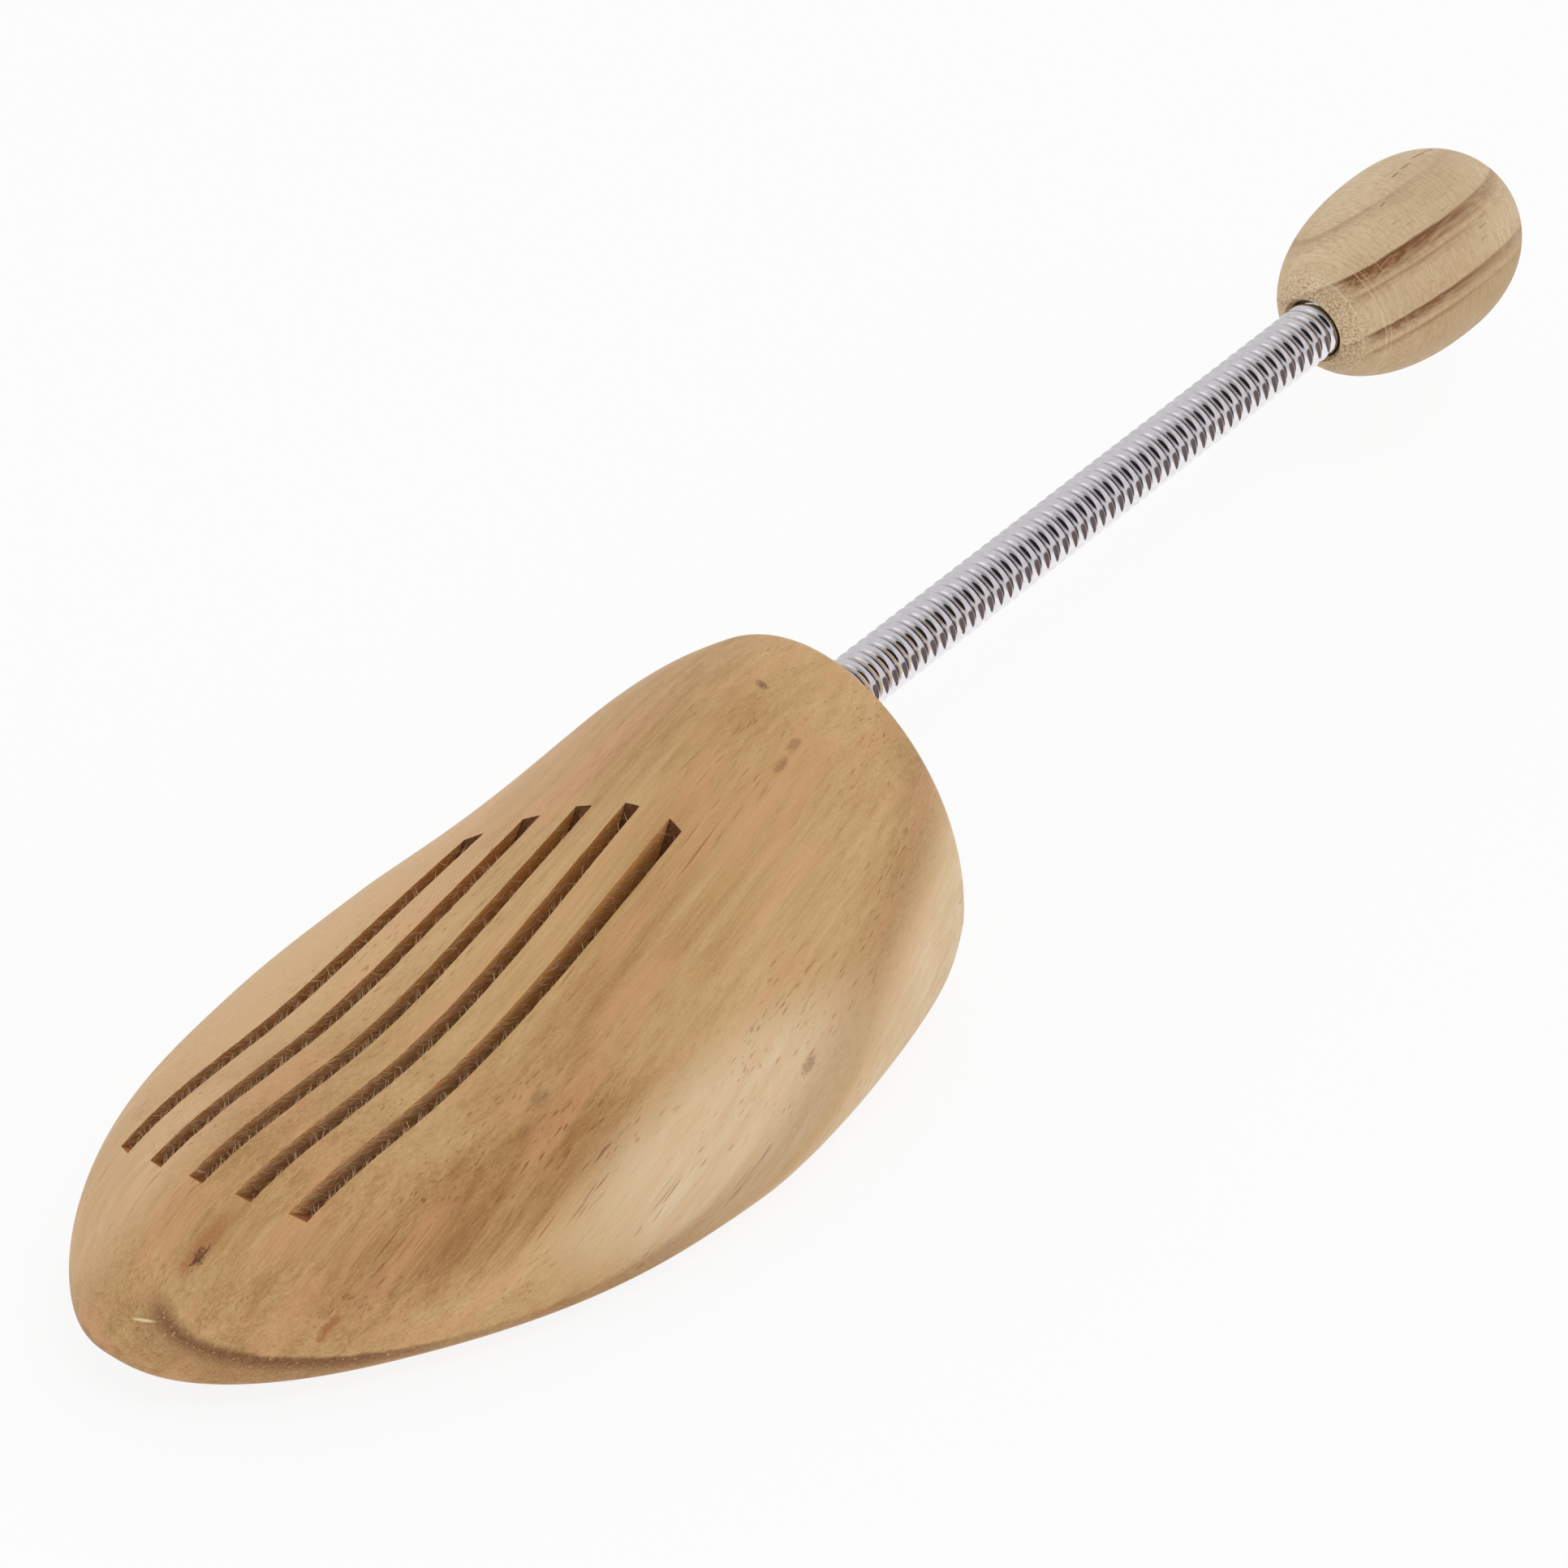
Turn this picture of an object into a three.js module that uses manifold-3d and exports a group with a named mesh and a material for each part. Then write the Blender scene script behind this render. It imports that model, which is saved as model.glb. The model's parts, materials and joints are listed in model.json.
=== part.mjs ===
// Spiral spring shoe tree: a slotted wooden forefoot, a close-wound steel spring and a wooden heel knob.
// Millimetres, +Z up, +X towards the toe, +Y towards the outer side of the foot.
import * as THREE from 'three';
import { mergeVertices } from 'three/addons/utils/BufferGeometryUtils.js';
import Module from 'manifold-3d';

// Forefoot: places along the length count from the rear face, or back from the tip where named so
const forefootLength = 160;
const instepHeight = 56.5;
const toeHeight = 31;
const instepEnd = 5;
const toeStart = 106;
const noseDrop = 8;
const noseDropFromTip = 40;
const toeSpring = 3.3;
const toeSpringFromTip = 88;
const rearWidth = 65;
const ballWidth = 89;
const ballPlace = 62;
const ballSwell = 1.43;
const toeTaper = 28;
const toeTaperPower = 1.9;
const toeRoundFromTip = 82.5;
const toeRoundFullness = 2.22;
const noseRoundFromTip = 29;
const noseRoundFullness = 2.4;
const rearOffset = 5;
const toeOffset = -6.3;
const leanStart = 22;
const leanPastTip = 10;
const soleDepth = 1.2;
const rearEdgeRound = 1.8;

// Forefoot cross-section: heights of the widest points and squareness of the upper and lower halves
const outerWidestShare = 0.21;
const innerWidestShare = 0.42;
const tipHeightShare = 0.4;
const upperFullness = 2;
const ridgeSharpness = 0.5;
const ridgeEnd = 93;
const lowerFullness = 2.7;

// The rear face is rounder than the rest, over a short stretch ahead of it
const rearOuterWidestShare = 0.36;
const rearInnerWidestShare = 0.24;
const rearLowerFullness = 2.1;
const rearReach = 28;
const rearReachPower = 4.2;
const rearCornerInset = 1;
const rearCornerReach = 9.4;

// Air slots sawn into the top
const slotCount = 5;
const slotWidth = 2.9;
const slotSpacing = 8.4;
const slotStagger = 1.1;
const slotLift = 0.6;
const slotMiddle = -7.2;
const slotFromRear = 43;
const slotFromTip = 22.4;
const slotDepth = 24;
const sawCentreRise = 16;

// Spring
const springDiameter = 10.5;
const wireDiameter = 2.4;
const turnGap = 0.1;
const springHeight = 36;
const exposedLength = 139.5;
const flexPoints = 24;
const wireCut = 0.12;
const frontSeatTurns = 6;
const rearSeatTurns = 4;
const endTurns = 1.5;

// Heel knob: length ahead of and behind its widest ring
const knobDiameter = 33.7;
const knobFrontLength = 29.2;
const knobRearLength = 22.5;
const knobFullness = 2.25;
const rimRound = 0.6;

// Nails that lock the spring's ends in the wood
const nailDiameter = 2;
const nailHeadDiameter = 3.2;
const nailHeadHeight = 1;
const nailPoint = 3;
const nailSetDepth = 1;
const nailReach = 6.5;
const nailRoom = 0.8;

// Fit and facets
const clearance = 0.3;
const cutterOvershoot = 3;
const stationCount = 26;
const ringPoints = 40;
const wireSides = 6;
const stepsPerTurn = 10;
const knobSides = 36;
const knobSteps = 9;
const nailSides = 12;
const boreSides = 32;
const slotSegments = 56;

// Sizes that follow from those above
const meanRadius = (springDiameter - wireDiameter) / 2;
const springPitch = wireDiameter + turnGap;
const openPitch = wireDiameter + nailDiameter + 2 * nailRoom;
const boreRadius = springDiameter / 2 + clearance;
const exposedTurns = exposedLength / springPitch;
const frontNailTurn = -frontSeatTurns;
const rearNailTurn = Math.ceil(exposedTurns) + rearSeatTurns;
const firstTurn = frontNailTurn - 1 - endTurns;
const lastTurn = rearNailTurn + 1 + endTurns;

const wasm = await Module();
wasm.setup();

const clamp = THREE.MathUtils.clamp;
const lerp = THREE.MathUtils.lerp;

// Solids from closed geometry, and back
function solidOf(geometry) {
  const bare = geometry.clone();
  bare.deleteAttribute('normal');
  bare.deleteAttribute('uv');
  const merged = mergeVertices(bare, 1e-4);
  const vertProperties = new Float32Array(merged.attributes.position.array);
  const triVerts = new Uint32Array(merged.index.array);
  return new wasm.Manifold(new wasm.Mesh({ numProp: 3, vertProperties, triVerts }));
}

function geometryOf(solid) {
  const mesh = solid.getMesh();
  const geometry = new THREE.BufferGeometry();
  geometry.setAttribute('position', new THREE.BufferAttribute(mesh.vertProperties, mesh.numProp));
  geometry.setIndex(new THREE.BufferAttribute(mesh.triVerts, 1));
  geometry.computeVertexNormals();
  return geometry;
}

function cutAway(geometry, cutters) {
  const rest = cutters.reduce((solid, cutter) => solid.subtract(solidOf(cutter)), solidOf(geometry));
  return geometryOf(rest);
}

// One before the first place, nought after the second, a smooth fall between
function fall(place, from, to) {
  return 0.5 + 0.5 * Math.cos(Math.PI * clamp((place - from) / (to - from), 0, 1));
}

// Superellipse that closes the last stretch before the tip
function roundOff(place, fromTip, fullness) {
  const share = clamp((place - forefootLength + fromTip) / fromTip, 0, 1);
  return (1 - share ** fullness) ** (1 / fullness);
}

function crownHeight(place) {
  const slope = toeHeight + (instepHeight - toeHeight) * fall(place, instepEnd, toeStart);
  const drop = clamp((place - forefootLength + noseDropFromTip) / noseDropFromTip, 0, 1);
  return slope - noseDrop * drop ** 2;
}

function soleHeight(place) {
  const lift = clamp((place - forefootLength + toeSpringFromTip) / toeSpringFromTip, 0, 1);
  return toeSpring * lift ** 2 - soleDepth;
}

function halfWidth(place) {
  const behind = clamp(1 - place / ballPlace, 0, 1);
  const behindBall = ballWidth - (ballWidth - rearWidth) * behind ** ballSwell;
  const ahead = clamp((place - ballPlace) / (forefootLength - ballPlace), 0, 1);
  const width = behindBall - toeTaper * ahead ** toeTaperPower;
  const corner = rearCornerInset * clamp(1 - place / rearCornerReach, 0, 1) ** 2;
  return (width / 2) * roundOff(place, toeRoundFromTip, toeRoundFullness) - corner;
}

function middleLine(place) {
  return toeOffset + (rearOffset - toeOffset) * fall(place, leanStart, forefootLength + leanPastTip);
}

// One ring of the forefoot, inset from its full outline at the rounded rear edge
function forefootRing(place, inset) {
  const nose = roundOff(place, noseRoundFromTip, noseRoundFullness);
  const tip = lerp(soleHeight(place), crownHeight(place), tipHeightShare);
  const top = lerp(tip, crownHeight(place), nose) - inset;
  const bottom = lerp(tip, soleHeight(place), nose) + inset;
  const half = Math.max(halfWidth(place) - inset, 0);
  const ridge = ridgeSharpness * Math.sin(Math.PI * clamp(place / ridgeEnd, 0, 1)) ** 2;
  const rearShare = clamp(1 - place / rearReach, 0, 1) ** rearReachPower;
  const lower = lerp(lowerFullness, rearLowerFullness, rearShare);
  const innerWidest = lerp(innerWidestShare, rearInnerWidestShare, rearShare);
  const outerWidest = lerp(outerWidestShare, rearOuterWidestShare, rearShare);
  const ring = [];
  for (let i = 0; i < ringPoints; i += 1) {
    const angle = (2 * Math.PI * i) / ringPoints;
    const fullness = Math.sin(angle) >= 0 ? upperFullness - ridge : lower;
    const across = Math.sign(Math.cos(angle)) * Math.abs(Math.cos(angle)) ** (2 / fullness);
    const up = Math.sign(Math.sin(angle)) * Math.abs(Math.sin(angle)) ** (2 / fullness);
    const widest = lerp(bottom, top, lerp(innerWidest, outerWidest, 0.5 + 0.5 * across));
    const height = up >= 0 ? lerp(widest, top, up) : lerp(widest, bottom, -up);
    ring.push(new THREE.Vector3(place, middleLine(place) + half * across, height));
  }
  return ring;
}

// Skin through rings from the rear face to the tip, closed by a fan at each end
function loft(rings, rearPoint, tipPoint) {
  const points = [...rings.flat(), rearPoint, tipPoint];
  const count = rings[0].length;
  const rear = points.length - 2;
  const faces = [];
  for (let i = 0; i < count; i += 1) {
    const next = (i + 1) % count;
    faces.push(rear, next, i);
    for (let ring = 0; ring < rings.length - 1; ring += 1) {
      const here = ring * count;
      const ahead = here + count;
      faces.push(here + i, here + next, ahead + i);
      faces.push(here + next, ahead + next, ahead + i);
    }
    const end = (rings.length - 1) * count;
    faces.push(end + i, end + next, rear + 1);
  }
  const geometry = new THREE.BufferGeometry().setFromPoints(points);
  geometry.setIndex(faces);
  return geometry;
}

function forefootSkin() {
  const rings = [];
  for (const angle of [90, 60, 30]) {
    const turn = THREE.MathUtils.degToRad(angle);
    rings.push(forefootRing(rearEdgeRound * (1 - Math.sin(turn)), rearEdgeRound * (1 - Math.cos(turn))));
  }
  for (let i = 0; i < stationCount; i += 1) {
    const ahead = Math.sin((Math.PI / 2) * (i / stationCount));
    rings.push(forefootRing(lerp(rearEdgeRound, forefootLength, ahead), 0));
  }
  const tipHeight = lerp(soleHeight(forefootLength), crownHeight(forefootLength), tipHeightShare);
  const tip = new THREE.Vector3(forefootLength, middleLine(forefootLength), tipHeight);
  return loft(rings, new THREE.Vector3(0, middleLine(0), springHeight), tip);
}

// Everything below the flat sole
function soleCutter() {
  const depth = soleDepth + cutterOvershoot;
  const cutter = new THREE.BoxGeometry(3 * forefootLength, 3 * ballWidth, depth);
  return cutter.translate(0, 0, -depth / 2);
}

// A row of round saw cuts; the floor of each is the arc between its two ends on the top surface
function slotCutters() {
  const rear = new THREE.Vector2(slotFromRear, crownHeight(slotFromRear));
  const frontPlace = forefootLength - slotFromTip;
  const front = new THREE.Vector2(frontPlace, crownHeight(frontPlace));
  const chord = front.clone().sub(rear);
  const sawRise = sawCentreRise + slotDepth;
  const sawRun = chord.length() / 2 / Math.sqrt(1 - (sawCentreRise / sawRise) ** 2);
  const blade = new THREE.Shape();
  blade.absellipse(0, sawCentreRise, sawRun, sawRise, 0, 2 * Math.PI);
  const cutters = [];
  for (let i = 0; i < slotCount; i += 1) {
    const fromMiddle = i - (slotCount - 1) / 2;
    const across = slotMiddle + fromMiddle * slotSpacing;
    const along = (rear.x + front.x) / 2 - fromMiddle * slotStagger;
    const cutter = new THREE.ExtrudeGeometry(blade, {
      depth: slotWidth,
      curveSegments: slotSegments,
      bevelEnabled: false,
    });
    cutter.rotateZ(chord.angle());
    cutter.rotateX(Math.PI / 2);
    cutter.translate(along, across + slotWidth / 2, (rear.y + front.y) / 2 + fromMiddle * slotLift);
    cutters.push(cutter);
  }
  return cutters;
}

// Distance behind the forefoot's rear face at a given turn; the turn that takes a nail is wider
function behindRearFace(turn) {
  const frontOpen = clamp(frontNailTurn - turn, 0, 1);
  const rearOpen = clamp(turn - rearNailTurn, 0, 1);
  return turn * springPitch + (rearOpen - frontOpen) * (openPitch - springPitch);
}

const frontNailPlace = -(behindRearFace(frontNailTurn) - openPitch / 2);
const rearNailPlace = -(behindRearFace(rearNailTurn) + openPitch / 2);
const frontBoreDepth = -behindRearFace(firstTurn) + wireDiameter / 2 + clearance;
const rearBoreDepth = behindRearFace(lastTurn) - exposedLength + wireDiameter / 2 + clearance;

// Right-hand helix along the spring's axis
class SpringWire extends THREE.Curve {
  constructor(fromTurn, toTurn) {
    super();
    this.fromTurn = fromTurn;
    this.toTurn = toTurn;
  }

  getPoint(share, target = new THREE.Vector3()) {
    const turn = lerp(this.fromTurn, this.toTurn, share);
    const angle = 2 * Math.PI * turn;
    return target.set(
      -behindRearFace(turn),
      meanRadius * Math.cos(angle),
      -meanRadius * Math.sin(angle),
    );
  }
}

// A stretch of the wire between two turns
function wireStretch(fromTurn, toTurn) {
  const section = new THREE.Shape();
  for (let i = 0; i < wireSides; i += 1) {
    const angle = (2 * Math.PI * i) / wireSides;
    const corner = new THREE.Vector2(Math.cos(angle), Math.sin(angle)).multiplyScalar(wireDiameter / 2);
    if (i === 0) {
      section.moveTo(corner.x, corner.y);
    } else {
      section.lineTo(corner.x, corner.y);
    }
  }
  return new THREE.ExtrudeGeometry(section, {
    steps: Math.round((toTurn - fromTurn) * stepsPerTurn),
    extrudePath: new SpringWire(fromTurn, toTurn),
  });
}

// Outline of a nail, head down, grown by the room that its hole leaves
function nailOutline(length, room) {
  const shank = nailDiameter / 2 + room;
  const head = nailHeadDiameter / 2 + room;
  return [
    new THREE.Vector2(0, -room),
    new THREE.Vector2(head, -room),
    new THREE.Vector2(head, nailHeadHeight + room),
    new THREE.Vector2(shank, nailHeadHeight + room),
    new THREE.Vector2(shank, length - nailPoint + room),
    new THREE.Vector2(0, length + room),
  ];
}

function nailBody(length, room) {
  return new THREE.LatheGeometry(nailOutline(length, room), nailSides).rotateX(Math.PI / 2);
}

// The nail's hole, with the set hole that its head is punched down
function nailHole(length) {
  const setRadius = nailHeadDiameter / 2 + clearance;
  const setDepth = nailSetDepth + cutterOvershoot;
  const setHole = new THREE.CylinderGeometry(setRadius, setRadius, setDepth, nailSides);
  setHole.rotateX(Math.PI / 2).translate(0, 0, -setDepth / 2);
  return geometryOf(solidOf(nailBody(length, clearance)).add(solidOf(setHole)));
}

// Height of the nail's head below the spring's axis, and its length to just past the coil
const frontNailDrop = springHeight - nailSetDepth;
const frontNailLength = frontNailDrop + nailReach;

// Knob outline from the rear end round to the bore's rim and down the bore, on its axis
function knobRadiusAt(ahead) {
  const length = ahead > 0 ? knobFrontLength : knobRearLength;
  const share = clamp(Math.abs(ahead) / length, 0, 1);
  return (knobDiameter / 2) * (1 - share ** knobFullness) ** (1 / knobFullness);
}

const rimAhead = knobFrontLength
  * (1 - ((boreRadius + rimRound) / (knobDiameter / 2)) ** knobFullness) ** (1 / knobFullness);
const rearNailRadius = knobRadiusAt(rimAhead + exposedLength + rearNailPlace);
const rearNailDrop = Math.sqrt(rearNailRadius ** 2 - meanRadius ** 2) - nailSetDepth;
const rearNailLength = rearNailDrop + nailReach;

function knobOutline() {
  const points = [];
  const power = 2 / knobFullness;
  const radius = knobDiameter / 2;
  for (let i = 0; i < knobSteps; i += 1) {
    const angle = (Math.PI / 2) * (1 - i / knobSteps);
    points.push(new THREE.Vector2(
      i === 0 ? 0 : radius * Math.cos(angle) ** power,
      -knobRearLength * Math.sin(angle) ** power,
    ));
  }
  const rimAngle = Math.acos(((boreRadius + rimRound) / radius) ** (1 / power));
  for (let i = 0; i <= knobSteps; i += 1) {
    const angle = rimAngle * (i / knobSteps);
    points.push(new THREE.Vector2(
      radius * Math.cos(angle) ** power,
      knobFrontLength * Math.sin(angle) ** power,
    ));
  }
  points.push(new THREE.Vector2(boreRadius, rimAhead - rimRound));
  points.push(new THREE.Vector2(boreRadius, rimAhead - rearBoreDepth));
  points.push(new THREE.Vector2(0, rimAhead - rearBoreDepth));
  return points;
}

// Finishes
const forefootWood = { color: 0xc79f6c, roughness: 0.55, metalness: 0 };
const knobWood = { color: 0xb4935f, roughness: 0.6, metalness: 0 };
const springSteel = { color: 0xc9c8cc, roughness: 0.18, metalness: 1 };
const nailSteel = { color: 0x8c8a88, roughness: 0.4, metalness: 1 };

function piece(name, geometry, finish) {
  const mesh = new THREE.Mesh(geometry, new THREE.MeshStandardMaterial(finish));
  mesh.name = name;
  return mesh;
}

// Forefoot, bored for the spring and its nail
const boreLength = frontBoreDepth + cutterOvershoot;
const bore = new THREE.CylinderGeometry(boreRadius, boreRadius, boreLength, boreSides);
bore.rotateZ(Math.PI / 2).translate(boreLength / 2 - cutterOvershoot, 0, springHeight);
const frontHole = nailHole(frontNailLength);
frontHole.translate(frontNailPlace, meanRadius, springHeight - frontNailDrop);
const forefoot = cutAway(forefootSkin(), [soleCutter(), ...slotCutters(), bore, frontHole]);

// Knob, in its own frame with the axis along X and the widest ring at the origin
const knobPlace = -exposedLength - rimAhead;
const knobTurned = new THREE.LatheGeometry(knobOutline(), knobSides).rotateZ(-Math.PI / 2);
const rearHole = nailHole(rearNailLength);
rearHole.translate(rearNailPlace - knobPlace, meanRadius, -rearNailDrop);
const knob = cutAway(knobTurned, [rearHole]);

const shoeTree = new THREE.Group();
shoeTree.add(piece('forefoot_block', forefoot, forefootWood));

const frontNail = piece('forefoot_nail', nailBody(frontNailLength, 0), nailSteel);
frontNail.position.set(frontNailPlace, meanRadius, springHeight - frontNailDrop);
shoeTree.add(frontNail);

// Spring, knob and knob nail share the spring's axis
const springLine = new THREE.Group();
springLine.position.z = springHeight;
shoeTree.add(springLine);

// The wire is one piece; it is divided where the spring flexes
const cutTurns = wireCut / (4 * Math.PI * meanRadius);
const flexTurns = [];
for (let i = 0; i < flexPoints; i += 1) {
  flexTurns.push(((i + 0.5) * exposedTurns) / flexPoints);
}
const stretchEnds = [firstTurn, ...flexTurns, lastTurn];
for (let i = 0; i <= flexPoints; i += 1) {
  const from = stretchEnds[i] + (i > 0 ? cutTurns : 0);
  const to = stretchEnds[i + 1] - (i < flexPoints ? cutTurns : 0);
  const label = String(i).padStart(2, '0');
  springLine.add(piece(`spring_turns_${label}`, wireStretch(from, to), springSteel));
}

const heelKnob = piece('heel_knob', knob, knobWood);
heelKnob.position.x = knobPlace;
springLine.add(heelKnob);

const rearNail = piece('knob_nail', nailBody(rearNailLength, 0), nailSteel);
rearNail.position.set(rearNailPlace, meanRadius, -rearNailDrop);
springLine.add(rearNail);

// The origin is under the middle of the whole object, on the surface that the sole rests on
const box = new THREE.Box3().setFromObject(shoeTree);
const middle = box.getCenter(new THREE.Vector3());
shoeTree.position.set(-middle.x, -middle.y, -box.min.z);

export default shoeTree;
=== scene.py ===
# %% [markdown]
# A shoe tree is a wooden forefoot, a close-wound steel spring and a turned heel knob.
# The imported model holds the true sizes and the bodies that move.
# It is loaded first, and everything below is fitted to it, in metres.

# %% Load the frame
import json
import math
import bmesh
import bpy
import numpy as np
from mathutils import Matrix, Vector, noise

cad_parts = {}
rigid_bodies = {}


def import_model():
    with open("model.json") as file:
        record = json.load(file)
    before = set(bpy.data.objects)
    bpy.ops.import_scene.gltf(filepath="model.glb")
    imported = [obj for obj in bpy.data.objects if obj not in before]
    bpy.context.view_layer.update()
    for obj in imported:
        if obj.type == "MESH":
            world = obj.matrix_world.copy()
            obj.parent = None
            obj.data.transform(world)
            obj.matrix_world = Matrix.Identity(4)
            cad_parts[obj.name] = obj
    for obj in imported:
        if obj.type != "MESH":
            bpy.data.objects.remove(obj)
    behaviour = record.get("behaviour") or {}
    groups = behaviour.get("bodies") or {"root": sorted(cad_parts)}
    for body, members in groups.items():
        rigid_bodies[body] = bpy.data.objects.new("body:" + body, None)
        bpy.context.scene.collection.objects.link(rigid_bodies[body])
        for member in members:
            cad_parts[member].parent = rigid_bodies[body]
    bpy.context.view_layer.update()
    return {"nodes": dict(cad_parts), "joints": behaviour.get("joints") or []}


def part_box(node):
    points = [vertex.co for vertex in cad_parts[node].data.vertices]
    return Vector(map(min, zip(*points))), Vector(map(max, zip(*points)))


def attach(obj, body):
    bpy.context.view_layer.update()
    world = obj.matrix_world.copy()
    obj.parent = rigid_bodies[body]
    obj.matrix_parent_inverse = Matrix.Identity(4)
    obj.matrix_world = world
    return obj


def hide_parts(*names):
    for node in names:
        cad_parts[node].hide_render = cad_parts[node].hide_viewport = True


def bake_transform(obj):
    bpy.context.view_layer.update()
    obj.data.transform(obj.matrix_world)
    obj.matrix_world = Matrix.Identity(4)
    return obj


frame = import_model()
MM = 0.001

# %% [markdown]
# Two places tie every piece to the frame: the rear face of the forefoot and the axis of the spring.
# The knob is turned about that axis, so the middle of its box gives the axis exactly.

# %% Places taken from the frame
block_low, block_high = (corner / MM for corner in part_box("forefoot_block"))
knob_low, knob_high = (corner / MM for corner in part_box("heel_knob"))
REAR_FACE = block_low.x
FOREFOOT_LENGTH = block_high.x - block_low.x
INSTEP_HEIGHT = block_high.z
AXIS_Y = (knob_low.y + knob_high.y) / 2
AXIS_Z = (knob_low.z + knob_high.z) / 2
SPRING_LENGTH = block_low.x - knob_high.x
print("rear face at", round(REAR_FACE, 2), "mm, spring axis at", round(AXIS_Y, 2), round(AXIS_Z, 2))

# %% [markdown]
# The camera looks down at the lateral side of the toe, from about the height of a table lamp.
# A long lens keeps the far knob from shrinking, as in a catalogue picture.
# The aim is a point beside the tree, so that the picture needs no shift.

# %% Camera
AZIMUTH = math.radians(40.0)
ELEVATION = math.radians(40.7)
EYE_DISTANCE = 1456.2
LOOK_AT = Vector((REAR_FACE + 30.0, AXIS_Y, 25.0))
AIM_RIGHT = 17.4
AIM_UP = 14.4
LENS_PIXELS = 11000
IMAGE_PIXELS = 1932
SENSOR = 36.0


def put(name, data):
    """A new object in the scene."""
    thing = bpy.data.objects.new(name, data)
    bpy.context.scene.collection.objects.link(thing)
    return thing


level = math.cos(ELEVATION)
to_camera = Vector((level * math.cos(AZIMUTH), level * math.sin(AZIMUTH), math.sin(ELEVATION)))
picture_right = Vector((-math.sin(AZIMUTH), math.cos(AZIMUTH), 0))
picture_up = to_camera.cross(picture_right)
lens = bpy.data.cameras.new("catalogue_lens")
lens.sensor_width = SENSOR
lens.lens = SENSOR * LENS_PIXELS / IMAGE_PIXELS
camera = put("catalogue_camera", lens)
aim = LOOK_AT + picture_right * AIM_RIGHT + picture_up * AIM_UP
camera.location = (aim + to_camera * EYE_DISTANCE) * MM
camera.rotation_euler = (-to_camera).to_track_quat("-Z", "Y").to_euler()
bpy.context.scene.camera = camera
print("camera lens", round(lens.lens, 1), "mm")

# %% [markdown]
# Materials and Geometry Nodes are both trees of nodes, and most of their nodes are arithmetic.
# Placing each Math node by hand hides the formula, so a small class wraps a socket
# and lets Python's own operators add those nodes. Every other node comes from one method.

# %% Node expressions
class Value:
    """An output of a node that takes part in ordinary arithmetic."""

    def __init__(self, nodes, socket):
        self.nodes = nodes
        self.socket = socket

    def math(self, operation, *operands):
        return self.nodes.node("ShaderNodeMath", {"operation": operation}, dict(enumerate(operands)))

    def __add__(self, other):
        return self.math("ADD", self, other)

    def __sub__(self, other):
        return self.math("SUBTRACT", self, other)

    def __rsub__(self, other):
        return self.math("SUBTRACT", other, self)

    def __mul__(self, other):
        return self.math("MULTIPLY", self, other)

    def __truediv__(self, other):
        return self.math("DIVIDE", self, other)

    __radd__ = __add__
    __rmul__ = __mul__

    def of(self, operation):
        """A function of one number, such as SINE or ABSOLUTE."""
        return self.math(operation, self)

    def most(self, other):
        return self.math("MAXIMUM", self, other)

    def within(self, low, high):
        return self.nodes.node("ShaderNodeClamp", None, {"Value": self, "Min": low, "Max": high})

    def rise(self, low, high):
        """0 below low, 1 above high and a smooth step between. It falls where low is above high."""
        return self.nodes.node("ShaderNodeMapRange", {"interpolation_type": "SMOOTHSTEP"},
                               {"Value": self, "From Min": low, "From Max": high})

    def vector(self, operation, other=(0, 0, 0), out=0):
        return self.nodes.node("ShaderNodeVectorMath", {"operation": operation}, {0: self, 1: other}, out)

    def scaled(self, factor):
        return self.nodes.node("ShaderNodeVectorMath", {"operation": "SCALE"}, {0: self, "Scale": factor})

    def dot(self, direction):
        return self.vector("DOT_PRODUCT", direction, "Value")

    def size(self):
        return self.vector("LENGTH", out="Value")


class Nodes:
    """A node tree. Its one method adds any node, and the others are short forms of it."""

    def __init__(self, tree):
        self.tree = tree

    def node(self, kind, settings=None, inputs=None, out=0):
        made = self.tree.nodes.new(kind)
        for name, setting in (settings or {}).items():
            setattr(made, name, setting)
        for key, value in (inputs or {}).items():
            if isinstance(value, Value):
                self.tree.links.new(value.socket, made.inputs[key])
            else:
                made.inputs[key].default_value = value
        return Value(self, made.outputs[out]) if made.outputs else made

    def mix(self, share, first, second):
        settings = {"data_type": "RGBA", "clamp_factor": True}
        return self.node("ShaderNodeMix", settings, {0: share, 6: first, 7: second}, 2)

    def paint(self, colour, *layers):
        """Lays tints over a colour, each by its share."""
        for share, tint in layers:
            colour = self.mix(share, colour, tint)
        return colour

    def triple(self, x, y, z):
        return self.node("ShaderNodeCombineXYZ", None, {0: x, 1: y, 2: z})

    def clouds(self, place, detail=2.0, roughness=0.5, scale=1.0):
        """Smooth random values around one half."""
        inputs = {"Vector": place, "Scale": scale, "Detail": detail, "Roughness": roughness}
        return self.node("ShaderNodeTexNoise", None, inputs)


def seen(red, green, blue):
    """A colour as a screen shows it, 0 to 255, in the linear values that nodes take."""
    shares = [channel / 255 for channel in (red, green, blue)]
    return tuple(s / 12.92 if s <= 0.04045 else ((s + 0.055) / 1.055) ** 2.4 for s in shares) + (1.0,)


print("node expressions ready")

# %% [markdown]
# Every finish is one Principled shader. What varies goes into colour, roughness and a bump,
# because those can be baked. A number that is the same all over is set on the shader itself.

# %% One helper for finishes
def new_finish(name):
    """A material with an empty tree, and the nodes to fill it with."""
    material = bpy.data.materials.new(name)
    material.use_nodes = True
    material.node_tree.nodes.clear()
    return material, Nodes(material.node_tree)


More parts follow.
